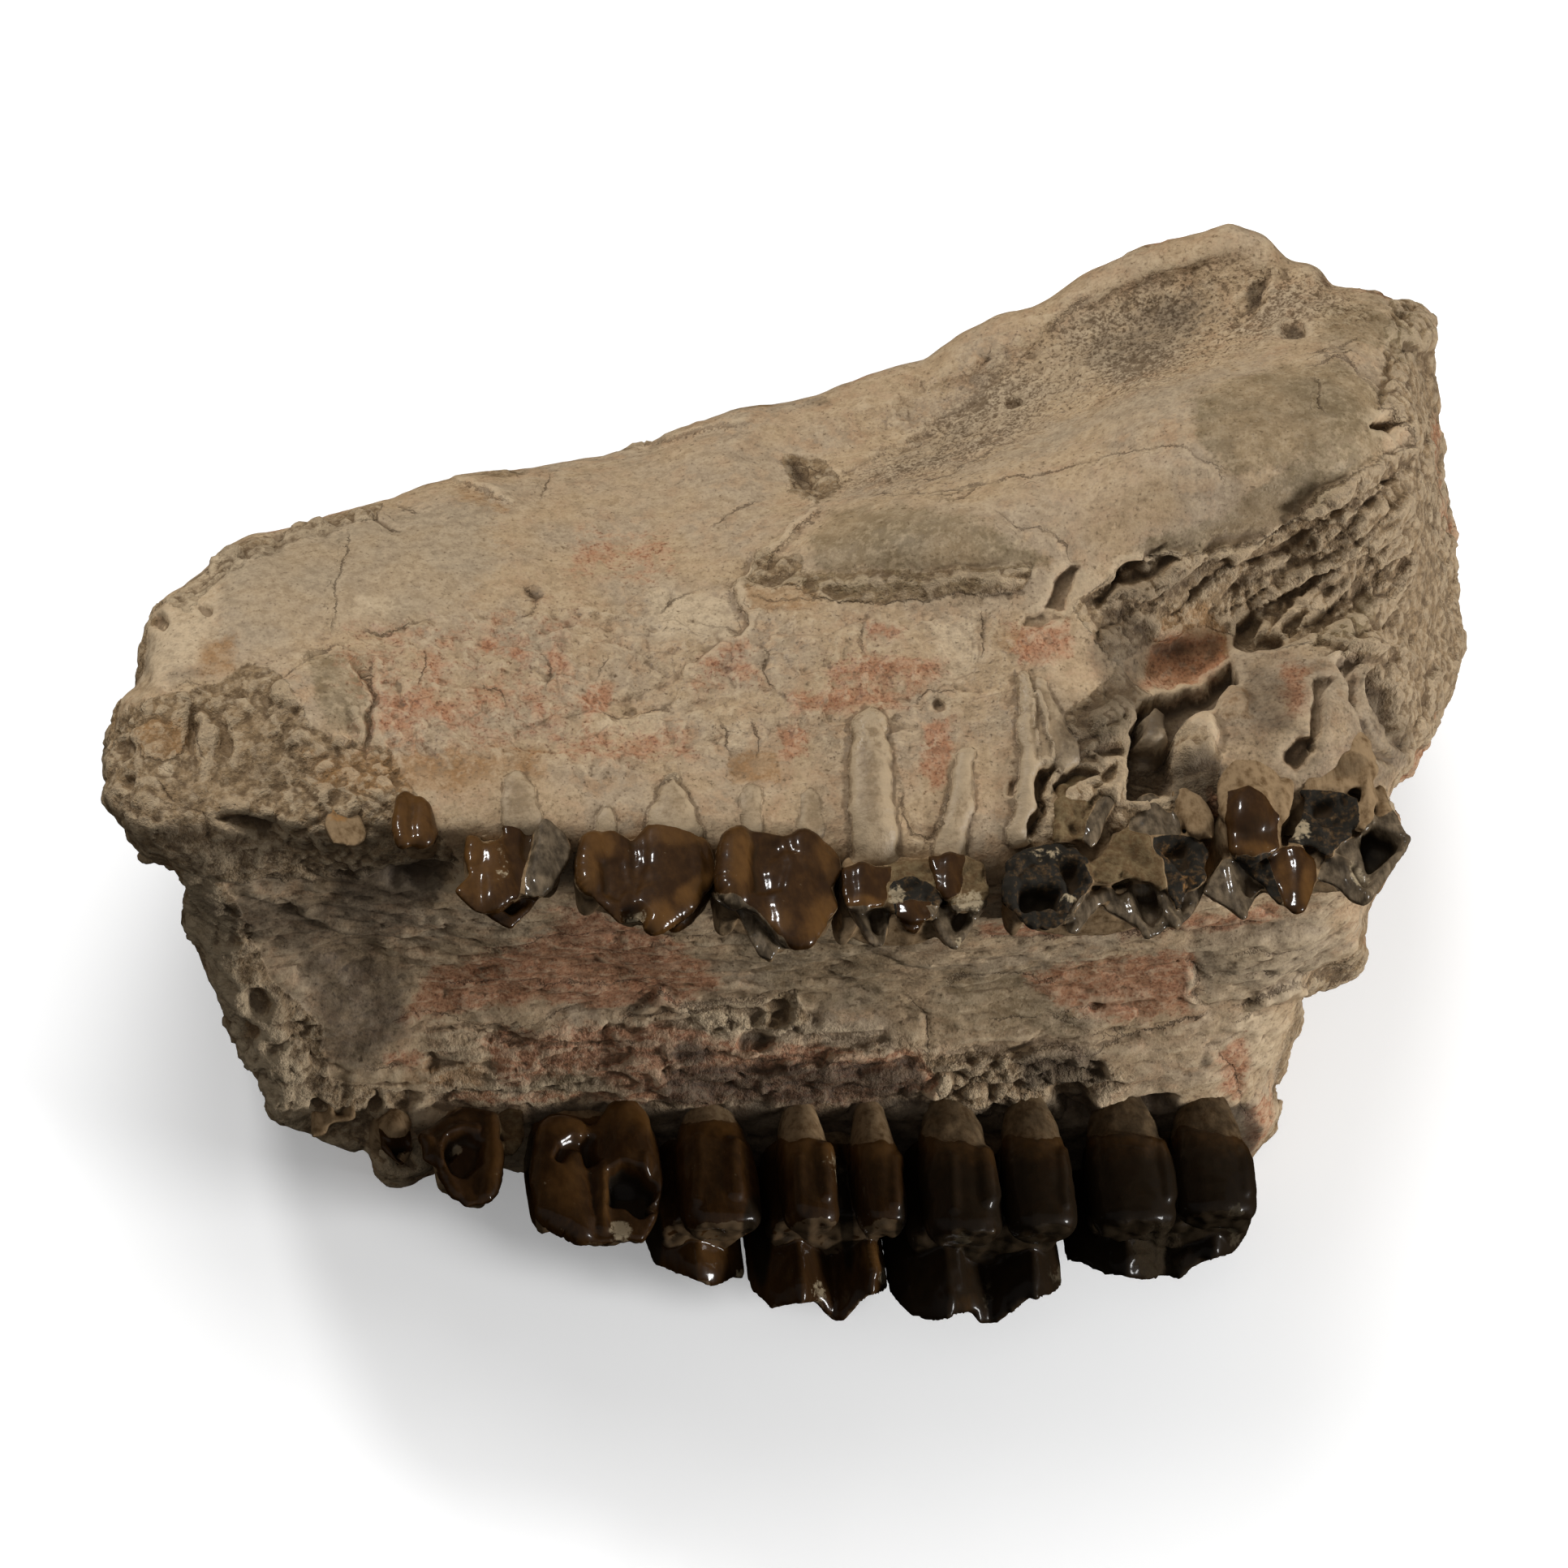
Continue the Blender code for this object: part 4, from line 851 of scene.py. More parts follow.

# Colours with an outline: which paint, its strength, how soft its edge is, and the outline.
# The "dark" areas are painted shade over darker rock: in the shadow under the brow and the plate
# edges, in the pits at the rear, in the hollow at the front of the palate and along the sockets of
# the right teeth.
COLOUR_AREAS = (
    ("red", 0.75, 1.8, (-41.5, 9.8), (-37, 10), (-32.5, 8.6), (-33, 5.6), (-41, 5.2)),
    ("red", 0.7, 1.0, (-31.2, 9.8), (-28.4, 9.4), (-28, 7.6), (-31, 7.8)),
    ("red", 0.6, 1.2, (-36.2, 13.9), (-33.4, 12.6), (-33, 9.8), (-36, 10)),
    ("red", 1.0, 0.9, (-20.9, 8.4), (-19.6, 10.4), (-17.2, 10), (-17.4, 8), (-20, 6)),
    ("red", 0.55, 2.2, (-22, 5.6), (-10, 6), (-8, 3), (-12, 1.6), (-24, 2.4)),
    ("red", 0.5, 2.4, (-22, 25.4), (-14, 26), (-9, 23), (-13, 20), (-22, 21.4)),
    ("red", 0.55, 1.8, (-9.4, 14), (-3, 14.4), (-2.4, 10), (-9, 9.6)),
    ("red", 1.0, 0.9, (-0.8, 5.4), (2.2, 5.6), (2.6, 2.6), (-0.2, 2.6)),
    ("red", 0.75, 1.4, (0.2, 9), (6, 10), (13.6, 9.6), (12, 7.2), (1, 7)),
    ("red", 0.75, 1.8, (4.2, 12.6), (10, 13.4), (16.8, 12.4), (15, 10), (5, 10)),
    ("red", 0.8, 1.2, (8.2, 16.4), (12.4, 16.6), (12, 15), (8.6, 15)),
    ("red", 0.9, 1.0, (14, 6), (16.8, 7), (16.6, 1), (15, -1), (13.8, 1)),
    ("red", 0.8, 1.5, (22, 16), (29, 16.6), (29, 12.6), (24, 12.4)),
    ("red", 0.35, 3.0, (-46, 16), (-20, 19), (-20, 3), (-44, 2)),
    ("red", 0.95, 0.9, (-35.5, -18.8), (-31.7, -17.8), (-25.7, -15.6), (-19.6, -12.8), (-12, -15.4),
     (-9.4, -17), (-6, -20), (-9, -22), (-16.6, -22.4), (-19.6, -23.1), (-24.2, -21.8), (-30.2, -22.6),
     (-39.3, -24.3)),
    ("red", 1.0, 0.9, (-30.4, -26), (-28, -24.8), (-19.6, -24.8), (-13.6, -24.4), (-9, -25),
     (-4.5, -26.2), (6, -27.2), (14, -27.2), (15.4, -31), (8, -32.6), (-1.5, -32.4), (-13.6, -32.4),
     (-17, -31), (-20, -29.4), (-25.7, -30), (-29, -30)),
    ("red", 0.8, 1.1, (24, -19.6), (30, -17.8), (41, -16.8), (41, -23), (34, -24.4), (28, -23)),
    ("red", 1.0, 0.8, (34, -17.4), (41.6, -16.6), (41, -22.6), (35, -23.4)),
    ("red", 1.0, 0.7, (19.6, -14), (32, -14.4), (44, -13), (50, -12), (50, -13.4), (43, -15), (30, -15.9),
     (20, -15.4)),
    ("red", 0.8, 0.9, (44, -27), (47, -25), (47.4, -29), (46, -33), (44.4, -31)),
    ("red", 0.8, 0.9, (46.6, -33), (50.4, -31), (49.4, -38), (47.6, -38)),
    ("red", 0.9, 0.7, (-40.6, -27.4), (-36.6, -27), (-36.2, -28.6), (-40, -28.6)),
    ("red", 0.7, 0.6, (-34, -32.6), (-22, -32.4), (-14, -33), (-14, -32), (-24, -31.4), (-34, -31.4)),
    ("red", 0.5, 1.1, (-26, -12), (-15, -11), (-15, -13), (-24, -14)),
    ("red", 0.9, 1.2, (38, 15.6), (44.2, 14.8), (44.6, 12.6), (41, 10.6), (36.5, 10)),
    ("red", 0.8, 1.2, (50, 12.6), (52.8, 12), (53, 6.4), (50.4, 6.6)),
    ("ochre", 0.8, 0.8, (-65.6, 5), (-64.1, 6.8), (-60, 6.8), (-59.4, 4.4), (-61.2, 2.6), (-64.7, 2.9)),
    ("ochre", 0.7, 1.4, (-59, 15), (-55, 15), (-55.3, 11.2), (-58.6, 11)),
    ("ochre", 0.8, 1.9, (-49, 3.4), (-36, 3.4), (-24, 4), (-24, 0.6), (-36, -1), (-46, -1)),
    ("ochre", 0.9, 1.1, (-5.8, 3.6), (-0.6, 3), (-0.8, 0.2), (-5.4, 0.4)),
    ("ochre", 0.6, 1.6, (-34, 31), (-27, 28.4), (-28, 27), (-33, 29)),
    ("ochre", 0.8, 1.3, (-3.8, 20), (0, 19.8), (4, 19), (3, 17.4), (-3.4, 17.2)),
    ("ochre", 1.0, 1.2, (37, 11.5), (38.4, 17.2), (42, 18.4), (45, 15.4), (45, 13.4), (42, 11)),
    ("ochre", 1.0, 1.0, (44, 9.4), (46.6, 9.8), (47.2, 6.8), (44.6, 6.4)),
    ("ochre", 0.7, 1.3, (-38, -28.4), (-31, -28), (-31, -31), (-40, -30.6)),
    ("olive", 0.85, 2.3, (2.3, 24.8), (4.8, 27.5), (10.6, 28), (17.9, 27.5), (21.3, 25.6), (25, 24.1),
     (27, 22), (23.3, 21.5), (10.6, 20.9), (2.8, 21.5)),
    ("dark", 0.36, 2.0, (42, 38), (48.6, 41), (56, 42), (60, 39.6), (60, 34), (50, 29.6), (44, 27.4),
     (38, 25.4), (41, 31)),
    ("olive", 1.0, 2.0, (41.3, 39), (48.6, 41.4), (55.9, 42.6), (60.3, 39.9), (60.4, 36.5), (56.9, 34.2),
     (49.6, 32.2), (44.7, 31.4), (41.8, 35)),
    # This olive band along the underside of the brow is partly painted shade.
    ("olive", 1.0, 1.8, (60.5, 35.8), (56.9, 34.6), (49.6, 31), (44.7, 27.2), (38.9, 25.2), (34.4, 23),
     (40, 23.4), (46, 24.2), (53.5, 28.9), (60.6, 33.4)),
    ("olive", 0.7, 3.1, (53.5, 50), (60, 49.6), (65, 47), (65.4, 42.4), (60, 44), (54, 44.6)),
    # This olive patch on the side of the swelling at the front is partly painted shade.
    ("olive", 1.0, 1.8, (-48, 13), (-42, 13), (-41.6, 5), (-46, 6)),
    ("olive", 0.6, 3.9, (14, -17), (34, -17), (30, -27), (15, -26)),
    ("olive", 0.6, 3.1, (-28, -27), (-18, -27.6), (-17, -33), (-27, -33)),
    ("olive", 0.5, 3.1, (-6, -13), (10, -13), (14, -24), (0, -24), (-6, -18)),
    ("olive", 0.6, 2.1, (30.4, 3.6), (31.6, 8.6), (35, 8.4), (35.2, 3.4)),
    ("olive", 0.6, 2.6, (-11, 21), (22, 21.4), (20, 18.4), (0, 18.6)),
    ("olive", 0.7, 3.1, (52, 15), (60, 20), (59, 14), (53, 13)),
    ("grey", 0.8, 2.9, (-57, 13), (-57, 24), (-42, 27.4), (-30, 29), (-28, 22), (-34, 16.6), (-46, 15)),
    ("grey", 0.7, 1.9, (-33.2, 15.6), (-30.6, 15.6), (-29.8, 10), (-33, 9.8)),
    ("grey", 0.8, 1.9, (-36.4, 7), (-31, 7.8), (-24, 8.6), (-24.6, 5), (-35, 4)),
    ("grey", 0.7, 2.4, (-30, 15.4), (-22, 18.6), (-20, 14.4), (-26, 10)),
    ("grey", 0.7, 2.9, (6, 29), (20, 30.4), (40, 38), (52, 43.6), (44, 43), (28, 37), (14, 31)),
    ("pale", 1.0, 0.8, (-19.2, 6.6), (-16, 6.8), (-12.6, 7), (-11.6, 5.8), (-13, 4.8), (-18, 4.8)),
    ("pale", 0.7, 1.8, (-14, 20), (-5, 19), (-5, 14.6), (-13, 14)),
    ("pale", 0.6, 1.8, (14, 17), (20, 17), (20, 10), (15, 10)),
    ("pale", 0.5, 1.5, (-6.6, 7.2), (-3, 7.2), (-3.4, 3), (-6, 3)),
    ("grey", 0.8, 1.2, (41.6, -15), (56, -13), (55, -18), (52, -21), (43.4, -22.6), (42, -19)),
    ("pale", 0.8, 1.2, (46, -23), (51, -23.6), (50.4, -29), (48, -29), (46, -27)),
    ("pale", 0.9, 0.9, (-10.6, -22.9), (-2.4, -22.8), (-2, -25.2), (-9, -26)),
    ("pale", 1.0, 0.6, (-12.8, -26.2), (-11, -26), (-10.8, -28.4), (-12.4, -31.2), (-13.2, -31)),
    ("pale", 0.7, 1.2, (-26, -11.6), (-14, -11.4), (-15, -13.4), (-25, -13)),
    ("pale", 0.6, 3.0, (-70, 8), (-62, 20), (-56, 24), (-57, 14), (-62, 9)),
    ("pale", 0.5, 2.1, (-60, -6), (-50, -5), (-50, -8), (-60, -9)),
    # The pale margin at the front end is pale rock, made paler still as painted light where that face is
    # lit.
    ("pale", 1.0, 1.2, (-62, -9), (-57.6, -9), (-55.6, -14), (-55, -20), (-51.5, -24), (-48.5, -30),
     (-47, -34), (-52, -35), (-60, -24)),
    ("dark", 0.66, 1.5, (-61, -12), (-40, -9.6), (-33, -9.6), (-36, -13), (-44, -20), (-52, -16)),
    ("dark", 0.5, 1.4, (-54, 3.2), (-49, 2.6), (-49, -0.8), (-53.6, -1)),
    ("dark", 0.6, 0.9, (-56.6, -3), (-50.4, -3.4), (-50.6, -4.6), (-56, -4.4)),
    ("dark", 0.8, 0.9, (34.8, 4.6), (39.6, 4), (39.6, -1.2), (34.8, -1.2)),
    ("dark", 0.85, 1.2, (-12, -28.4), (14, -27.8), (14.6, -33), (-14, -33)),
    ("dark", 0.8, 1.2, (23.5, -27), (32, -26.6), (33.3, -31.6), (24, -31.4)),
    ("dark", 0.6, 3.0, (27, 42), (31, 46.5), (38, 50.6), (44, 51), (46, 48), (42, 44.6), (34, 42)),
    ("dark", 0.45, 2.4, (7, 31.4), (12, 35), (18, 38.6), (22, 38.4), (18, 34), (12, 31.4)),
    ("dark", 0.3, 1.8, (-57, 7), (-44, 6), (-40, 3), (-38, -3), (-44, -4), (-54, -1)),
    ("dark", 0.9, 0.7, (-26, -32.6), (48, -32.2), (49, -38), (30, -42), (-26, -42)),
    ("dark", 0.42, 1.4, (-28, -25.6), (-13.6, -25), (-7, -26.4), (6, -27.6), (14, -28), (14, -32.8),
     (-20, -32.8), (-29, -30)),
    ("grey", 0.65, 2.6, (6, 31.4), (18, 39.6), (30, 48.2), (44, 51.4), (42, 45), (26, 37.4), (14, 31.6)),
    ("dark", 0.56, 2.6, (44, 15), (50, 15.6), (56, 14), (61, 12.6), (64, 6), (64, -3), (57, -3), (50, -2),
     (44, -2), (43, 8)),
    ("dark", 0.72, 2.2, (45.6, 13.6), (49.6, 13), (53, 10), (52, 4), (49.4, 3.6), (46.6, 5), (45, 9)),
    ("dark", 0.72, 1.8, (27, 2), (27, 6), (31, 10), (30, 14), (34, 19), (38, 16.5), (37, 9), (35, 5),
     (32, 1)),
    ("dark", 0.66, 2.2, (56, 0), (57, 6), (59, 10), (63, 8), (65, 3), (63, -2)),
    ("dark", 0.55, 2.0, (29, 17), (33, 22), (40, 22.6), (47, 23.4), (52, 26), (46, 21.6), (40, 18.6),
     (34, 17)),
    ("dark", 0.85, 1.2, (38.5, -6), (39, 2.4), (42, 3.6), (45, 2), (44, -3), (43, -8)),
    ("dark", 0.75, 1.6, (-50, -16), (-42, -17), (-37, -19), (-38, -25), (-42, -30), (-47, -27),
     (-48, -21)),
    ("dark", 0.85, 1.2, (-46, -8), (-34, -8.5), (-34, -12), (-45, -12.5)),
    ("dark", 0.35, 1.4, (35.6, 23.4), (44.7, 25.4), (53.5, 29.6), (60, 34.4), (60.6, 33.4), (52, 27),
     (44, 23.6)),
)
for name, strength, soft, *outline in COLOUR_AREAS:
    near, share = side.in_outline(outline, soft)
    side.dab(name, near, strength * share)
# Smaller spots of colour: which paint, middle, half sizes, turn and strength. The "dark" spots
# are painted shade in and beside pits and cracks.
SPOTS = (
    ("red", (-27, 13), (0.8, 0.6), 0, 0.9), ("red", (-29.5, 14), (0.7, 0.6), 0, 0.9),
    ("red", (-23, 12.5), (1.2, 1.0), 0, 0.9), ("red", (-24.8, 7.4), (1.0, 1.0), 0, 0.7),
    ("red", (43.7, -2.5), (0.7, 2.2), 20, 0.9), ("red", (25, 15), (2.0, 1.2), 20, 0.8),
    ("ochre", (-54, -25.3), (0.8, 1.2), 0, 1.0), ("ochre", (18.4, -1.4), (1.0, 0.8), 20, 1.0),
    ("ochre", (25.5, 7.6), (0.5, 0.5), 0, 1.0), ("ochre", (25.5, 4.9), (0.5, 0.5), 0, 1.0),
    ("ochre", (37, 7), (0.8, 0.7), 0, 1.0), ("ochre", (23, 14.6), (2.2, 1.2), 0, 0.8),
    ("pale", (-11.6, -27.2), (0.7, 1.6), 15, 0.9), ("pale", (-12.6, -30.3), (0.7, 1.5), 20, 0.9),
    ("pale", (15.6, -31), (0.9, 1.4), -35, 0.9), ("pale", (-41.5, 18), (3.4, 1.2), 12, 0.6),
    ("pale", (33.6, 12), (1.2, 2.2), -20, 0.6), ("pale", (-62, 1.5), (0.5, 0.8), 0, 1.0),
    ("dark", (-3.2, -26.3), (1.8, 1.2), 8, 0.8), ("dark", (-37, -9.4), (4.4, 1.1), 4, 0.9),
    ("dark", (3.5, 39), (1.6, 0.6), 0, 0.6), ("dark", (47.6, 50.4), (0.8, 1.8), -25, 0.8),
    ("dark", (51.6, 46.3), (1.0, 0.8), 20, 0.8), ("dark", (42.8, -28.2), (0.8, 1.0), 0, 0.7),
    ("dark", (-25.3, 19), (1.2, 0.8), -20, 0.6), ("dark", (1.4, 32), (0.9, 1.6), 40, 0.7),
    ("dark", (33, 34.2), (2.0, 0.8), 5, 0.5), ("dark", (-60.6, -4.8), (2.2, 1.6), 0, 0.6),
    ("dark", (-60, 10.8), (2.6, 0.9), 12, 0.5), ("dark", (39.2, 7.3), (5, 1.6), 38, 1.0),
    ("dark", (56, 20), (4, 2.4), 22, 0.4), ("dark", (-9.6, -27.4), (2.6, 1.8), 0, 0.9),
)
for name, centre, half, turn, strength in SPOTS:
    side.stain(name, centre, half, turn, strength)
SMOOTH_AREAS = (
    ((-57, 12), (-57, 26), (-40, 29), (-24, 31), (0, 37), (0, 24), (-4, 17), (-24, 18), (-40, 15)),
    ((3, 21.5), (2, 26), (6, 28.5), (20, 30.5), (40, 33.5), (50, 41), (60, 44), (60, 34), (50, 27),
     (28, 23)),
)
for outline in SMOOTH_AREAS:
    side.dab("smooth", *side.in_outline(outline, 1.2))
paint["smooth"] = np.maximum(paint["smooth"] * turned_up, 0.7 * roof_like * (1 - turned_up)) * (1 - stone)
for name in ("red", "ochre", "olive", "grey", "pale"):
    paint[name] *= 1 - root_share
STRENGTHS_BEHIND = {"red": 0.7, "ochre": 0.5, "olive": 0.6, "grey": 0.6, "pale": 0.4, "dark": 0.25}
for name, behind in STRENGTHS_BEHIND.items():
    spread = step(0.1, 0.7, clouds(points, 11, 90 + len(name), 2)) * behind
    paint[name] = paint[name] * turned_up + spread * (1 - turned_up)

# It rests on the paper: the carving fades out at its base, and nothing goes below it.
height = points @ np.array(LAID)[2] - UNDER_IT.z
side.lift *= 0.15 + 0.85 * step(0.5, 4.0, height)
side.shape(0)
skull = side.piece("skull_bone_and_rock", MOST_TRIANGLES)

BONE = (0.405, 0.286, 0.166, 1)
BONE_COOL = (0.365, 0.274, 0.178, 1)
BONE_WARM = (0.352, 0.222, 0.122, 1)
GREY = (0.325, 0.252, 0.165, 1)
STONE = (0.252, 0.166, 0.083, 1)
STONE_DARK = (0.095, 0.056, 0.026, 1)
RED = (0.36, 0.145, 0.066, 1)
RED_DEEP = (0.19, 0.055, 0.022, 1)
OCHRE = (0.27, 0.135, 0.045, 1)
OLIVE = (0.150, 0.110, 0.052, 1)
PALE = (0.53, 0.41, 0.265, 1)
DARK = (0.03, 0.018, 0.009, 1)
ROOT_TAN = (0.20, 0.14, 0.078, 1)
bone = Finish("fossil_bone_and_rock")
place = bone.place()
broad = bone.noise(place, 8, 4)
middle = bone.noise(place, 2.0, 4, 0.62)
small = bone.noise(place, 0.6, 3, 0.62)
speck = bone.noise(place, 0.3, 2, 0.5)
fibres = bone.noise(bone.stretched(place, 10, (5, 1, 1)), 0.9, 4, 0.62)
polish = bone.painted("smooth")
flaky = bone.painted("flaky")
lively = 1 - polish * 0.3
rough_share = (bone.painted("stone") + (small - 0.5) * 0.6).between(0.35, 0.65)
colour = bone.mix(broad.between(0.4, 0.6), BONE, BONE_COOL)
colour = bone.mix(middle.between(0.46, 0.62) * lively * 0.8, colour, BONE_WARM)
colour = bone.mix(fibres.between(0.52, 0.66) * lively * 0.22, colour, PALE)
colour = bone.mix(small.between(0.54, 0.70) * lively * 0.35, colour, STONE_DARK)
rocky = bone.mix((small * 0.6 + middle * 0.5).between(0.42, 0.62), STONE_DARK, STONE)
rocky = bone.mix(speck.between(0.52, 0.7) * 0.35, rocky, PALE)
colour = bone.mix(rough_share * 0.85, colour, rocky)
ragged = (middle - 0.5) * 1.8 + (small - 0.5) * 1.3 + (fibres - 0.5) * 0.9
WASHES = (("grey", GREY, 0.7), ("olive", OLIVE, 0.72), ("pale", PALE, 0.75), ("ochre", OCHRE, 0.75))
for name, tone, reach in WASHES:
    painted = bone.painted(name)
    share = (painted * 1.3 + ragged * 0.55).between(0.3, 0.85) * painted.between(0.0, 0.3)
    share = share * (0.6 + (broad * 0.5 + middle * 0.5).between(0.42, 0.58) * 0.4)
    colour = bone.mix(share * reach, colour, tone)
reddened = bone.painted("red")
wash = (reddened * 1.4 + ragged * 1.0).between(0.25, 1.1) * reddened.between(0.0, 0.3)
colour = bone.mix(wash * 0.72, colour, RED)
grains = (small * 0.6 + speck * 0.4 + reddened * 0.12 + (middle - 0.5) * 0.3).between(0.60, 0.70)
colour = bone.mix(grains * reddened.between(0.1, 0.6) * 0.55, colour, RED_DEEP)
mottled = bone.noise(place, 1.0, 4, 0.65)
colour = bone.mix(mottled.between(0.48, 0.62) * 0.3, colour, PALE)
colour = bone.mix(mottled.between(0.50, 0.38) * 0.22, colour, STONE_DARK)
colour = bone.mix(speck.between(0.44, 0.6) * 0.14, colour, STONE_DARK)
granular = bone.painted("socket") * (small * 0.5 + speck * 0.5 + (broad - 0.5) * 0.5).between(0.44, 0.6)
colour = bone.mix(granular * 0.7, colour, STONE_DARK)
freckles = (speck * 0.6 + small * 0.4).between(0.63, 0.69) * (0.25 + lively * 0.35)
colour = bone.mix(freckles, colour, STONE_DARK)
rooted = bone.painted("root")
root_tone = bone.mix(fibres.between(0.4, 0.66) * 0.25, ROOT_TAN, BONE)
colour = bone.mix((rooted + (small - 0.5) * 0.3).between(0.4, 0.7) * 0.85, colour, root_tone)
# Darker where the surface is hollow, as found from its shape.
darker_in_hollows = (bone.painted("hollow") + (small - 0.5) * 0.3).between(0.56, 0.78) * 0.6
colour = bone.mix(darker_in_hollows, colour, STONE_DARK)
worn = (bone.painted("hollow") + (small - 0.5) * 0.3).between(0.46, 0.30) * 0.4
colour = bone.mix(worn, colour, PALE)
# The "dark" paint: painted shade in pits, under ledges and in shadowed places, with some darker rock.
shade_and_dark_rock = (bone.painted("dark") + ragged * 0.25).between(0.25, 0.95)
colour = bone.mix(shade_and_dark_rock * 0.8, colour, DARK)
seam = bone.painted("seam") + (small - 0.5) * 0.7 + (speck - 0.5) * 0.3
line = (1 - seam.most(seam * -1).between(0.02, 0.13)) * bone.painted("seam_dark")
line = line * (0.35 + middle.between(0.35, 0.6) * 0.65)
colour = bone.mix(line * 0.8, colour, (0.055, 0.03, 0.014, 1))
splits = bone.cells(bone.stretched(place, 12, (1.5, 1, 1)), 3.4, "DISTANCE_TO_EDGE") + (small - 0.5) * 0.1
split = (1 - splits.between(0.0, 0.035)) * middle.between(0.48, 0.56) * (flaky * 0.7 + rough_share * 0.3)
colour = bone.mix(split * 0.6, colour, STONE_DARK)
grit = bone.noise(place, 0.33, 3, 0.65)
pores = 1 - bone.cells(place, 0.85).between(0.10, 0.24)
pitted = pores * (middle - 0.1).between(0.36, 0.5) * (0.35 + flaky * 0.3 + rough_share)
scales = bone.cells(bone.stretched(place, 10, (1.8, 1, 1)), 1.1)
coarse = rough_share * 0.9 + bone.painted("rugged") * 0.8 + flaky * 0.35
coarse = coarse + bone.painted("socket") * 0.6 + 0.22 * lively
dull = 0.74 - polish * 0.16 - rooted * 0.22 - flaky * small.between(0.45, 0.6) * 0.3 + rough_share * 0.1
relief = (grit * 0.5 + small * 0.9) * coarse + (scales * 0.25 + fibres * 0.18 + middle * 0.5) * lively
relief = relief - pitted * 0.25 - line * 0.45
bone.feed(bone.shader, {
    "Base Color": bone.mix(pitted * 0.3, colour, STONE_DARK),
    "Roughness": dull,
    "Normal": bone.bump(relief, 0.8, 0.4),
    "Specular IOR Level": 0.38,
})
skull.data.materials.clear()
skull.data.materials.append(bone.material)
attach(skull, "root")
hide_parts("skull")

# The teeth
# Sixteen teeth set in the jaw, brown glassy enamel over paler roots. The left row is seen from
# the cheek and is much broken. The right row is seen from the tongue, and is nearly whole.

BACK = Vector((0.979, 0.0, -0.205))
LEFT = Vector((0.17, 0.56, 0.81))
BITE = Vector((0.115, -0.828, 0.548))
TOOTH_FINE = 0.24
TOOTH_TRIANGLES = 40_000


def column(solid, around, up, surface):
    """A closed column in a tooth: surface gives its place for a share of the way round and up."""
    sheet = bmesh.ops.create_grid(solid, x_segments=around, y_segments=up, size=1)["verts"]
    for corner in sheet:
        corner.co = surface((corner.co.x + 1) / 2, (corner.co.y + 1) / 2)
    bmesh.ops.remove_doubles(solid, verts=sheet, dist=1e-4)
    bmesh.ops.holes_fill(solid, edges=[edge for edge in solid.edges if edge.is_boundary], sides=0)


class Tooth:
    """The sizes of one tooth, in millimetres along the jaw, out to the cheek and down the bite."""

    def __init__(self, name, place, length, width):
        self.name = name
        self.place = Vector(place)
        self.length = length
        self.width = width
        self.from_cheek = name.startswith("left")
        self.out = LEFT if self.from_cheek else -LEFT
        self.middle = self.place - LEFT * width / 2
        self.solid = bmesh.new()

    def drawn(self, x, y, z):
        return self.middle + BACK * float(x) + self.out * float(y) + BITE * float(z)

    def seen(self, u, v):
        """A drawn point on the tooth's near face, as how far along the tooth and down it that is."""
        z = (self.place.y - v) / 0.828
        return (u - self.place.x - 0.115 * z) / 0.979, z

    def wall(self, pushes, thickness, edge, foot):
        """The wall along the cheek: how far it stands out along the tooth, and its drawn lower edge."""
        edge_u, edge_v = np.array(edge).T
        push_x, push_y = np.array(pushes).T
        half = self.length / 2

        def surface(turn, up):
            share = 1 - abs(2 * turn - 1)
            x = half * (2 * share - 1)
            face = self.width / 2 - 0.5 + np.interp(x, push_x, push_y)
            deep = thickness * (0.25 + 0.75 * math.sqrt(max(0, 1 - (x / half) ** 8)))
            rim = self.drawn(x, face - 0.14 * deep, 0)
            top = 20.0
            for _ in range(4):
                top = (rim.y - np.interp(rim.x + BITE.x * top, edge_u, edge_v)) / -BITE.y
            inwards = deep * (1 - 0.72 * up**5) * (0.5 if up > 0.999 else turn > 0.5)
            return self.drawn(x, face + 0.5 * math.sin(math.pi * up) - inwards, foot + (top - foot) * up)

        column(self.solid, 96, 18, surface)

    def shard(self, behind, thickness, outline):
        """A slab of the tooth's near wall with a drawn outline, set behind the face of the wall."""
        corners = []
        for u, v in outline:
            off = 0.17 * (u - self.place.x) + 0.56 * (v - self.place.y)
            corners.append(self.solid.verts.new((u, v, self.place.z - off / 0.81 - behind)))
        face = self.solid.faces.new(corners)
        grown = bmesh.ops.extrude_face_region(self.solid, geom=[face])["geom"]
        moved = [part for part in grown if isinstance(part, bmesh.types.BMVert)]
        bmesh.ops.translate(self.solid, verts=moved, vec=(0, 0, -thickness))

    def lobe(self, x, y, half_x, half_y, profile, slope=0.0):
        """A rounded column: its middle and half sizes, and its scale at each height."""
        zs, scale_x, scale_y = np.array(profile, float).T

        def surface(turn, up):
            z = zs[0] + (zs[-1] - zs[0]) * up
            cos, sin = math.cos(2 * math.pi * turn), math.sin(2 * math.pi * turn)
            across = half_x * np.interp(z, zs, scale_x) * math.copysign(abs(cos) ** 0.85, cos)
            power = 0.85 if half_y < 1.5 * half_x else 0.5
            out = half_y * np.interp(z, zs, scale_y) * math.copysign(abs(sin) ** power, sin)
            return self.drawn(x + across, y + out, z + slope * out * up)

        column(self.solid, 48, 20, surface)


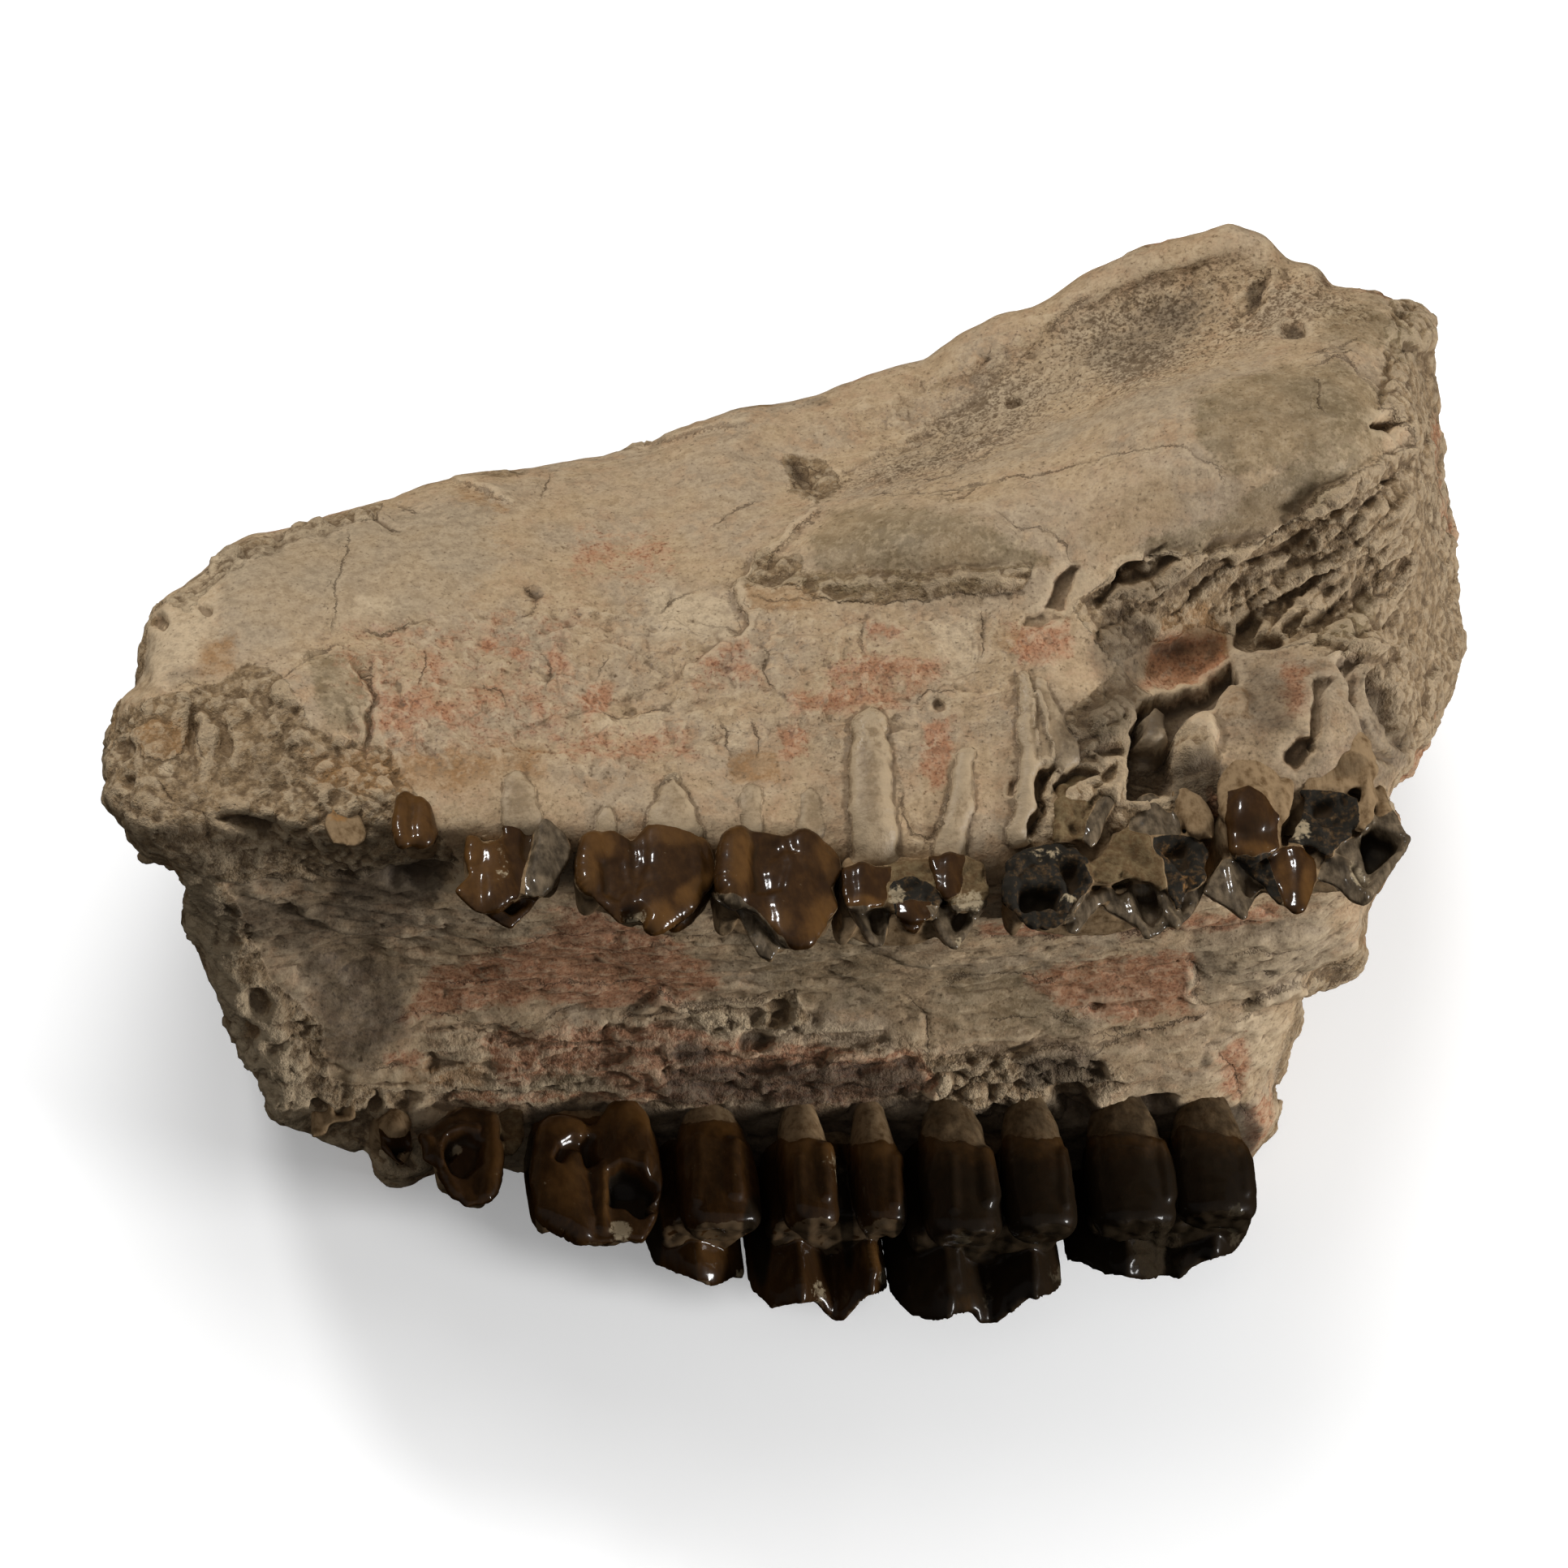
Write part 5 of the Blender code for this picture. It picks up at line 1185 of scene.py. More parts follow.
NECK = ((-3, 0.35, 0.55), (-0.6, 0.6, 0.74), (2.5, 0.86, 0.88))
TEETH = {
    "right_canine": ((-45.8, -32.2, -11.2), 3.6, 5.0),
    "right_premolar_1": ((-40.4, -32.6, -12.0), 4.4, 6.5),
    "right_premolar_2": ((-32.6, -32.4, -12.7), 7.4, 8.5),
    "right_premolar_3": ((-19.4, -32.2, -14.6), 12.2, 12.0),
    "right_premolar_4": ((-8.1, -32.0, -15.8), 10.6, 14.5),
    "right_molar_1": ((4.6, -31.8, -17.0), 14.2, 15.4),
    "right_molar_2": ((20.7, -31.6, -19.2), 18.0, 16.0),
    "right_molar_3": ((39.6, -31.2, -23.8), 19.4, 15.5),
    "left_canine": ((-44.2, -3.6, 23.2), 4.8, 5.0),
    "left_premolar_1": ((-36.0, -3.4, 23.0), 5.2, 6.0),
    "left_premolar_2": ((-27.0, -4.2, 22.4), 9.8, 8.5),
    "left_premolar_3": ((-13.9, -4.6, 21.4), 13.8, 9.5),
    "left_premolar_4": ((-0.7, -5.0, 20.2), 12.4, 11.0),
    "left_molar_1": ((12.4, -6.0, 18.6), 13.4, 14.0),
    "left_molar_2": ((31.7, -4.4, 14.2), 17.4, 15.0),
    "left_molar_3": ((52.6, 0.8, 7.2), 19.2, 14.0),
}
# The walls along the cheek of the right teeth: how far each stands out, and its lower edge.
WALLS = {
    "right_premolar_4": (
        ((-5.3, 0.6), (-0.4, -2.4), (5.3, 0.8)), 3.0,
        ((-14, -45.2), (-13.4, -48.6), (-11.1, -49.7), (-7, -51.1), (-4.9, -50.1), (-3.2, -51)),
    ),
    "right_molar_1": (
        ((-7, 0.6), (-2.8, -3.2), (1.3, 1.0), (4.6, -3.2), (7, 0.6)), 2.8,
        ((-3.4, -51.6), (-1.3, -53.2), (3.3, -52.7), (4.6, -54.2), (5.6, -54.9), (6.6, -54.2),
         (7.9, -52.4), (10.5, -51.6), (12, -51.4)),
    ),
    "right_molar_2": (
        ((-9, 0.6), (-4, -3.4), (0.9, 1.0), (5, -3.2), (9, 0.6)), 3.0,
        ((10.7, -51.9), (13, -54.2), (15.6, -54.6), (18.9, -53.7), (20, -54.9), (21.5, -55.1),
         (23, -53.7), (24.8, -52.4), (27.4, -51.9), (30, -49.8)),
    ),
    "right_molar_3": (
        ((-9.5, 0.6), (-4.5, -3.0), (0.6, 0.8), (5, -2.8), (9.6, 0.8)), 3.0,
        ((30, -48.6), (32.5, -49.8), (36.1, -50.4), (39.2, -50.1), (40.2, -50.6), (41.7, -49.1),
         (45.8, -47.8), (47.2, -46), (48, -47.3), (49.2, -44.5)),
    ),
}
# Pieces of wall with an outline of their own, broken or whole: what each is, how far behind the
# face of the wall it is, how thick, and its outline.
SHARDS = {
    "left_canine": (
        ("root", -0.5, 4, (-45.6, -2.2), (-44.4, -1.8), (-42.5, -3), (-41.8, -5.4), (-43, -6.4),
         (-45.4, -6), (-46.2, -4.2)),
    ),
    "left_premolar_1": (
        ("enamel", -1.4, 5, (-39, -1.2), (-38, -0.6), (-36.6, -1.4), (-35.2, -3), (-34.6, -5), (-36, -6),
         (-38.6, -6.4), (-39.4, -4)),
    ),
    "left_premolar_2": (
        ("enamel", 0, 3, (-31.7, -5.2), (-30.6, -5.8), (-29.8, -6.3), (-28.8, -6), (-28.6, -4.2),
         (-27.6, -4), (-26, -3.3), (-25.3, -3.6), (-25.5, -6.7), (-26.3, -9.5), (-26.5, -11.2),
         (-27.6, -11.7), (-30.1, -13.1), (-31.2, -12.7), (-33.1, -10.7), (-31.6, -9.3), (-31.9, -7)),
        ("glass", -0.3, 3, (-25.1, -3.4), (-23.3, -3.5), (-22, -5), (-21.3, -6.4), (-21.6, -7.8),
         (-23.3, -10.4), (-24, -11.3), (-26, -11.3), (-26, -9.5), (-25.3, -6.7)),
        ("enamel", 2, 3, (-30.1, -12.9), (-27.5, -11.6), (-24.6, -11.2), (-25.5, -12.6), (-26.5, -13.6),
         (-27.3, -14.6), (-28.5, -14)),
    ),
    "left_premolar_3": (
        ("enamel", 0, 4, (-20.7, -6.4), (-20, -5.4), (-18.7, -4.9), (-17, -4.7), (-15.4, -5.6),
         (-14.9, -5.4), (-14.1, -4.6), (-12.1, -4.1), (-10.5, -4.3), (-8.9, -4.9), (-7.6, -6.1),
         (-7, -7.5), (-6.9, -9.2), (-7.4, -10.5), (-9.5, -12.2), (-11.5, -13.7), (-13.2, -15),
         (-13.9, -14.2), (-15, -14), (-16, -14.2), (-16.7, -13.9), (-18.1, -12.4), (-19.8, -10.8),
         (-20.4, -9.5)),
        ("enamel", 3, 3, (-11.8, -13.2), (-7.2, -10.4), (-7, -11), (-8, -12.3), (-11, -14.4)),
    ),
    "left_premolar_4": (
        ("enamel", 0, 4, (-6.6, -7.5), (-5.7, -5.6), (-4.3, -4.6), (-1.7, -4.9), (0, -5.3), (2.1, -4.8),
         (4.4, -6.1), (5.5, -7.2), (5.8, -8.7), (4.8, -10.4), (5.5, -12.4), (3.9, -14.4), (2.4, -16.2),
         (1.2, -16.3), (-0.5, -15.6), (-2.8, -13), (-4.8, -11.8), (-6.3, -10.4), (-6.6, -9)),
        ("glass", 3.2, 3, (-6.4, -10.4), (-4.8, -11.4), (-2.8, -12.6), (-0.5, -15.2), (0.8, -16.2),
         (-0.6, -16.6), (-1.2, -17.8), (-2.4, -17.4), (-3.6, -15.4), (-4.5, -13.4), (-5.6, -12)),
    ),
    "left_molar_1": (
        ("stone", 1.2, 4, (10.5, -8), (15, -7.4), (15.6, -11), (14.8, -12.8), (13, -13), (9.6, -12.6)),
        ("black", 0.9, 3, (10.4, -10.4), (12, -9.6), (14.4, -9.8), (15.8, -11), (15.4, -12.8),
         (14.2, -13.8), (11.4, -13.6)),
        ("enamel", 0, 3, (5.8, -8.4), (7.5, -8.2), (10.8, -8.4), (10.2, -10), (9.9, -12.2), (8, -12.6),
         (6.4, -12.7), (5.9, -11)),
        ("enamel", 0, 3, (14.5, -7.2), (18.4, -7.1), (18.3, -9), (17.6, -11), (16.5, -11.5),
         (15.2, -10.5), (14.9, -8.5)),
        ("stone", 0.6, 3, (18.2, -7.2), (20.2, -8), (20.6, -11), (19.6, -12.8), (17, -13.4),
         (16.4, -11.4), (17.8, -11)),
        ("enamel", 2, 3, (11.3, -12), (14.8, -11.8), (14.9, -13.2), (13, -14.8), (12, -14.6),
         (11.4, -13.2)),
        ("glass", 3.2, 3, (6.3, -12.4), (10.7, -12.4), (10.5, -14.5), (10, -16.4), (8.6, -16.2),
         (7.2, -14)),
        ("glass", 3.2, 3, (14.3, -12.3), (16.6, -12.2), (20.4, -11.6), (19.6, -13), (18.4, -15),
         (17.4, -16.8), (16.4, -16.2), (15.2, -14.2)),
    ),
    "left_molar_2": (
        ("black", 0.4, 5, (22.7, -8.2), (24, -7), (25.5, -6.5), (29.3, -6.6), (30.4, -7.8), (31, -9.8),
         (30.4, -11), (29.2, -13.4), (28.2, -13.9), (26.5, -14.6), (24.2, -14), (22.9, -12.6),
         (22.3, -11.4)),
        ("glass", 2.6, 3, (28.2, -13.6), (29.4, -11.6), (31.3, -10.6), (32.5, -10.4), (33.6, -11.2),
         (31.8, -12.2), (30.4, -13.8), (29.2, -15.1), (28.5, -14.8)),
        ("glass", 2.8, 3, (32.1, -12.6), (33.2, -11.4), (34.3, -11), (35, -10), (37, -10), (38.2, -11.8),
         (38.8, -14.3), (37.6, -15.2), (36.6, -15.5), (35.4, -14.4), (33.6, -13.4)),
        ("glass", 2.0, 3, (37, -10), (38.2, -10), (39.5, -12.8), (40.4, -11.8), (41.6, -10.6),
         (42.8, -9.5), (42, -11.4), (41, -13.4), (39.8, -14.2), (38.9, -14.2), (37.8, -12)),
        ("stone", 0.2, 4, (30.2, -8.8), (32, -7), (33.4, -5), (35, -4.2), (36.5, -5), (37.6, -7.5),
         (38.4, -10.4), (37.2, -10.2), (35, -9.4), (32.6, -10.2), (31.2, -9.9)),
        ("black", 0.6, 4, (37, -5.6), (39.5, -4.8), (41.5, -5.5), (42.6, -7), (42.2, -9.8), (40.6, -11.5),
         (39.6, -12.6), (38.6, -10.5), (37.8, -7.8)),
        ("glass", 0.6, 3, (34.6, -3), (35.4, -1.6), (37, -1.2), (38.6, -2), (39.8, -3.6), (40, -5),
         (36.6, -5.4), (34.8, -4.6)),
        ("root", -0.4, 3, (39, -1), (40.5, 0), (42, -1.2), (43.2, -3), (43.3, -5.6), (41, -5.2),
         (39.6, -3.2)),
        ("glass", -0.9, 2, (30, -5.4), (30.8, -3), (32, -0.8), (34, 0.8), (35, 0.6), (33.6, -1.5),
         (32.4, -3.6), (31.6, -6), (30.8, -6.6)),
        ("stone", -0.4, 3, (27.4, -0.8), (29, 0.6), (31.5, 0.8), (31, -2), (30, -5.8), (27, -5.8),
         (27.3, -3)),
    ),
    "left_molar_3": (
        ("root", -0.4, 4, (43.8, 5.4), (45, 5.6), (47, 4.8), (49, 3), (51, 0.8), (51.4, -0.8),
         (50.2, -3.6), (49.9, -6.5), (48.8, -7.2), (46, -7.4), (44.7, -6.8), (44.6, -4), (43.9, -1),
         (43.6, 2)),
        ("enamel", -0.44, 3, (44.6, -1.2), (46.4, -1.0), (48.2, -2.4), (49.6, -3.6), (49.9, -6.5),
         (48.8, -7.2), (46, -7.4), (44.7, -6.8)),
        ("root", 0, 3, (52.2, 1), (53.2, 2.6), (55, 3.4), (57.5, 3.8), (59.6, 2.8), (59.9, 1.4), (59, 0),
         (56.8, -0.6), (52.4, -0.3)),
        ("root", -0.4, 3, (55.5, 10), (56.6, 8.6), (57.8, 6), (59.2, 3.6), (59.8, 2.6), (57.5, 3.6),
         (55, 3.2), (53.1, 2.8), (54.2, 5), (54.3, 8.2)),
        ("black", 0.8, 4, (50.7, -5.8), (52.2, -2.4), (52, -0.6), (54, -0.6), (56.6, -0.8), (58, -2.5),
         (58, -4), (56.5, -5.4), (55, -7.3), (54, -6.8), (52.8, -6), (51.4, -6)),
        ("root", 0.4, 3, (58.2, -0.2), (59.4, 0.4), (59.8, -1.5), (59.2, -3.2), (58.6, -5), (58, -4.6),
         (58.1, -2)),
        ("glass", 2, 3.4, (53.6, -9.6), (54.2, -7.8), (55.2, -7.2), (56.3, -5.7), (58, -5.2),
         (59.2, -3.2), (60.2, -3.4), (61.5, -2.6), (63, -5.6), (62.4, -6.8), (61.2, -8.4), (60, -10.1),
         (59.2, -11.8), (58.4, -12.3), (57.2, -11.9), (55.5, -10.3)),
        ("glass", 2.2, 3, (44.2, -7.4), (46.3, -7.8), (48.7, -10.3), (47.3, -11.6), (46.2, -13.8),
         (44.8, -12.6), (42, -11), (43.4, -8.6)),
        ("black", 1.6, 3, (45, -7.2), (49.5, -7.0), (50.4, -11.6), (49.9, -12.4), (47.6, -9.8),
         (46, -8.4)),
        ("enamel", 1.2, 3, (48.7, -7.4), (50, -6.4), (52, -6.4), (53.5, -7.6), (53.6, -9.6),
         (52.5, -12.6), (51.5, -13.2), (50.4, -12.4), (49.6, -10.2)),
    ),
    "right_canine": (
        ("root", 0, 3, (-46.3, -31.2), (-43.7, -31.4), (-43.3, -34), (-46, -34.4)),
        ("root", 0.4, 3, (-48, -33), (-46.4, -33.2), (-46.2, -35.4), (-47.8, -35.8)),
    ),
    "right_premolar_1": (
        ("enamel", 1, 4, (-41, -34.6), (-38, -34.8), (-37.6, -37), (-38.5, -38.6), (-39.6, -38),
         (-40.8, -36.8)),
        ("root", 0, 3, (-40.5, -33.3), (-38.2, -33.2), (-37.6, -34.6), (-38.4, -35.4), (-40, -35.5),
         (-41, -34.8)),
    ),
    "right_premolar_2": (
        ("enamel", 0, 5, (-37, -35.5), (-34.5, -34), (-32.5, -32.7), (-30, -33), (-28.6, -35),
         (-28.7, -38), (-29.3, -41), (-30.3, -42.5), (-32.3, -42.8), (-34, -41), (-35, -39),
         (-36.5, -38)),
        ("stone", 0.6, 4, (-28.9, -33), (-26.4, -32.8), (-26.3, -36), (-27.4, -37.6), (-28.8, -37)),
    ),
    "right_premolar_3": (
        ("enamel", 0, 6, (-24.8, -35), (-23.5, -34.3), (-20.5, -34.6), (-19.2, -34.8), (-18, -33),
         (-16, -32.5), (-14, -34), (-13, -36), (-12.3, -40), (-13, -44), (-14.3, -46.3), (-16, -46),
         (-17.6, -46.5), (-20, -46.3), (-22, -45), (-25, -43.5), (-25.8, -40), (-25.2, -36)),
    ),
}
# Ridges: their radii at each end, their height, and their points.
TOOTH_RIDGES = {
    "left_premolar_1": (
        ((0.9, 1.2), 0.9, (-36.4, -2), (-36.2, -5.6)), ((0.7, 0.9), 0.6, (-38.4, -1.8), (-38.4, -5.6)),
    ),
    "left_premolar_2": (
        ((1.2, 1.8), 0.9, (-29.2, -6.4), (-28.4, -11.4)), ((0.8, 0.8), 0.5, (-31.2, -5.8), (-31.3, -7.4)),
        ((1.0, 1.3), 0.7, (-24, -4.4), (-24.4, -9.8)),
    ),
    "left_premolar_3": (
        ((1.2, 1.5), 1.0, (-19.3, -5.8), (-19.5, -9.8)),
        ((2.6, 3.4), 1.4, (-11.5, -5.2), (-10.9, -8.4), (-11.8, -12)),
        ((1.1, 1.1), 0.4, (-8.4, -6.4), (-8.2, -9.4)), ((1.3, 1.3), 0.4, (-17, -8.4), (-16.4, -12)),
    ),
    "left_premolar_4": (
        ((1.6, 1.9), 1.4, (-4.9, -5.6), (-5, -8), (-5.1, -10.6)),
        ((1.4, 1.5), 0.8, (2.1, -5.8), (3.4, -8.2)), ((2.2, 2.6), 0.8, (0.3, -9), (1.7, -14.6)),
        ((0.6, 0.6), 0.5, (-6, -11.2), (-3.4, -13.2), (-1.2, -16.8)),
    ),
    "left_molar_1": (
        ((1.0, 1.0), 0.6, (8, -8.6), (8, -12.2)), ((0.9, 0.8), 0.6, (16.7, -7.6), (16.6, -11)),
        ((0.5, 0.4), 0.5, (14.6, -12.8), (16.8, -16.2)), ((0.4, 0.4), 0.4, (17.2, -16.2), (20, -12)),
        ((0.5, 0.4), 0.5, (7.4, -13), (9.2, -16)), ((0.8, 0.8), 0.5, (12.6, -12.4), (13, -14.2)),
    ),
    "left_molar_2": (
        ((0.7, 0.7), 0.8, (22.8, -11.6), (23, -8.6), (25.4, -7), (29, -7.2), (30.4, -9.4)),
        ((0.6, 0.5), 0.5, (29, -14.4), (31, -11.6), (33, -10.8)),
        ((0.4, 0.4), 0.6, (34.6, -11.2), (35.2, -13.2), (36.6, -15.2)),
        ((0.6, 0.5), 0.6, (37.6, -10.6), (38.6, -13), (39.4, -14)),
        ((0.7, 0.4), 0.7, (36, -6), (37.6, -8.4), (38.4, -11.8)),
        ((1.3, 1.3), 0.7, (36.8, -2), (37.2, -4.6)), ((0.6, 0.5), 0.5, (31, -4.8), (33.4, -0.4)),
        ((1.4, 1.4), 0.8, (40.4, -1), (41.8, -4)), ((0.9, 0.8), 0.7, (28.2, -1.2), (28, -5)),
        ((0.9, 0.8), 0.5, (30, -0.4), (30, -4)),
    ),
    "left_molar_3": (
        ((2.4, 3.4), 1.6, (45.4, 5), (46.6, 1), (47.2, -2)),
        ((2.0, 1.8), 0.9, (46.9, -2.6), (46.8, -6.6)),
        ((1.0, 2.2), 1.3, (55.2, 9.4), (56.2, 5), (57, 3.4)),
        ((1.0, 1.0), 0.6, (53, 1), (56, 2), (59, 1.4)), ((0.7, 0.8), 0.7, (50.6, -0.2), (50.2, -3.2)),
        ((0.45, 0.45), 0.7, (55.2, -7.4), (56.4, -8), (57.4, -10), (58.5, -11.6)),
        ((0.5, 0.5), 0.7, (62.7, -5.6), (61, -8), (59.2, -10.6), (58.5, -11.6)),
        ((0.45, 0.4), 0.6, (44.8, -8.4), (45.3, -11), (46.4, -13.4)),
        ((0.9, 0.6), 0.6, (51.6, -6.6), (52, -9), (51.8, -12.4)),
        ((0.6, 0.6), 0.6, (57.4, -1.4), (57.8, -4)), ((0.5, 0.5), 0.5, (58.8, 0), (58.9, -4.4)),
    ),
    "right_premolar_1": (((0.9, 1.2), 0.8, (-39.4, -33.6), (-39.4, -35)),),
    "right_premolar_2": (
        ((0.8, 1.0), 0.9, (-29.6, -34), (-29.4, -38), (-29.8, -41.4)),
        ((0.5, 0.5), 0.6, (-34.8, -38.4), (-34.6, -36), (-33, -34.8), (-31.2, -35)),
        ((0.7, 0.6), 0.6, (-36.2, -36), (-34.6, -38.6), (-33.2, -41.4)),
    ),
    "right_premolar_4": (
        ((0.8, 0.9), 0.7, (-5.2, -36.6), (-4.8, -41.4)), ((0.7, 0.7), 0.4, (-8.6, -36), (-8.8, -42)),
    ),
    "right_molar_1": (
        ((0.8, 0.8), 0.7, (4, -37), (4.4, -41.6)), ((0.6, 0.6), 0.5, (11.3, -38), (11.4, -42.4)),
        ((0.6, 0.6), 0.4, (1.4, -38), (1.6, -43)), ((0.7, 0.5), 0.6, (2.6, -44.6), (2.4, -46)),
        ((0.6, 0.5), 0.6, (8.4, -47), (9.2, -49.6)),
    ),
    "right_molar_2": (
        ((0.8, 0.9), 0.8, (20.3, -37.4), (20.8, -42)), ((0.6, 0.6), 0.5, (28.2, -37.4), (28.6, -42.6)),
        ((0.6, 0.6), 0.4, (17, -38), (17.2, -43)), ((0.6, 0.5), 0.6, (17.4, -47.4), (17.8, -51)),
    ),
    "right_molar_3": (
        ((0.9, 0.8), 0.8, (38.6, -36.8), (39.2, -41.8)), ((0.6, 0.6), 0.5, (46.8, -37), (47, -41.4)),
        ((0.8, 0.8), 0.5, (33.4, -36), (36.8, -36.6)),
    ),
    "right_premolar_3": (
        ((2.4, 3.0), 1.5, (-22.4, -35.4), (-22.6, -40), (-22, -44.4)),
        ((2.0, 2.6), 1.5, (-16, -33.6), (-15.6, -38)), ((0.6, 0.7), 0.8, (-18.4, -38.6), (-18.3, -45)),
        ((0.5, 0.5), 0.5, (-14.2, -38.4), (-13.4, -43.6)),
    ),
}
# Holes in them: depth, and the outline.
TOOTH_HOLES = {
    "left_premolar_2": (
        (1.4, (-28.6, -12.5), (-27.3, -11.7), (-26.2, -12), (-27.2, -13)),
        (0.8, (-29, -5.8), (-28.8, -3.6), (-28.3, -5)),
        (0.7, (-26.3, -4), (-25, -3.2), (-25.2, -6), (-25.8, -8), (-26.3, -7)),
    ),
    "left_premolar_3": (
        (0.7, (-15.3, -5.6), (-15, -5.6), (-14.9, -9.2), (-15.1, -9.3)),
        (0.9, (-16.2, -12.8), (-14.6, -12.4), (-13.6, -13.6), (-14.6, -14.6), (-16, -14.4)),
        (0.5, (-18.6, -8), (-16.2, -7.4), (-15.6, -10), (-16.6, -12), (-18.2, -11)),
    ),
    "left_premolar_4": ((0.45, (-3, -6), (-0.6, -5.8), (0.4, -8), (-0.4, -11), (-2.8, -11), (-3.4, -9)),),
    "left_molar_1": (
        (1.0, (16.2, -12.8), (18.8, -12.8), (17.4, -15)),
        (0.8, (8.4, -12.8), (10.2, -12.8), (9.8, -15.2), (8.9, -14.6)),
    ),
    "left_molar_2": (
        (2.4, (23.8, -10.4), (26, -10), (27.8, -10.6), (27.6, -12.4), (26, -12.2), (24, -12.6)),
        (1.4, (28, -8.6), (29.6, -8.2), (30, -10), (28.8, -10.6)),
        (1.2, (35.4, -10.8), (37.2, -10.8), (38, -13), (37.2, -14.4), (36.2, -13.6)),
        (1.4, (38.4, -6.4), (40.6, -5.8), (41.2, -8), (39.8, -8.6)),
        (0.9, (28.6, -11.6), (30, -11.2), (29.4, -13), (28.6, -13)),
        (0.8, (40.4, -9.6), (41.6, -9.8), (41, -12), (40, -13)),
    ),
    "left_molar_3": (
        (2.6, (58.3, -5.6), (59.4, -4.2), (61.4, -5), (62.2, -5.8), (60.6, -7.6), (59, -8.8),
         (58.6, -7.4)),
        (1.2, (50.6, -6.2), (51.8, -3.6), (52.2, -1.2), (51.2, -2.6), (50.2, -5)),
        (0.9, (53, -1.6), (55.4, -1.8), (56, -3.8), (54, -4.6)),
        (1.1, (46.4, -9), (48.4, -10.6), (47.2, -11.4), (46.4, -11)),
        (0.8, (57, -8.4), (58, -7.4), (59, -9.4), (58.6, -10.8)),
        (0.8, (46.6, 4.6), (49, 4.4), (48.4, 3.4), (46.8, 3.8)),
    ),
    "right_canine": ((0.8, (-45.6, -32), (-44.4, -32), (-44.2, -33.4), (-45.4, -33.4)),),
    "right_premolar_1": ((2.2, (-39.8, -36.4), (-38, -36.2), (-37.9, -38), (-38.8, -38.2)),),
    "right_premolar_2": (
        (1.2, (-34.4, -37.8), (-34, -35.9), (-32.2, -35.4), (-30.6, -36.4), (-30.9, -38.4),
         (-32.2, -39.8), (-33.7, -39.3)),
        (1.2, (-34.6, -37), (-33.8, -35.8), (-33.2, -36.8), (-34, -37.6)),
    ),
    "right_premolar_3": (
        (1.0, (-23.4, -38.4), (-22.8, -36.8), (-21.4, -35.9), (-20, -36.4), (-19.4, -38.2), (-20, -39),
         (-20.6, -37.5), (-21.6, -37.4), (-22.6, -38.8)),
        (2.6, (-17.5, -39.4), (-16.4, -38.9), (-14.6, -39.6), (-13.0, -40.9), (-12.8, -43),
         (-14.6, -43.9), (-16, -42.7), (-17.6, -42.6)),
        (0.9, (-20.4, -36), (-19.2, -35.6), (-19, -38.4), (-20, -38.6)),
    ),
}
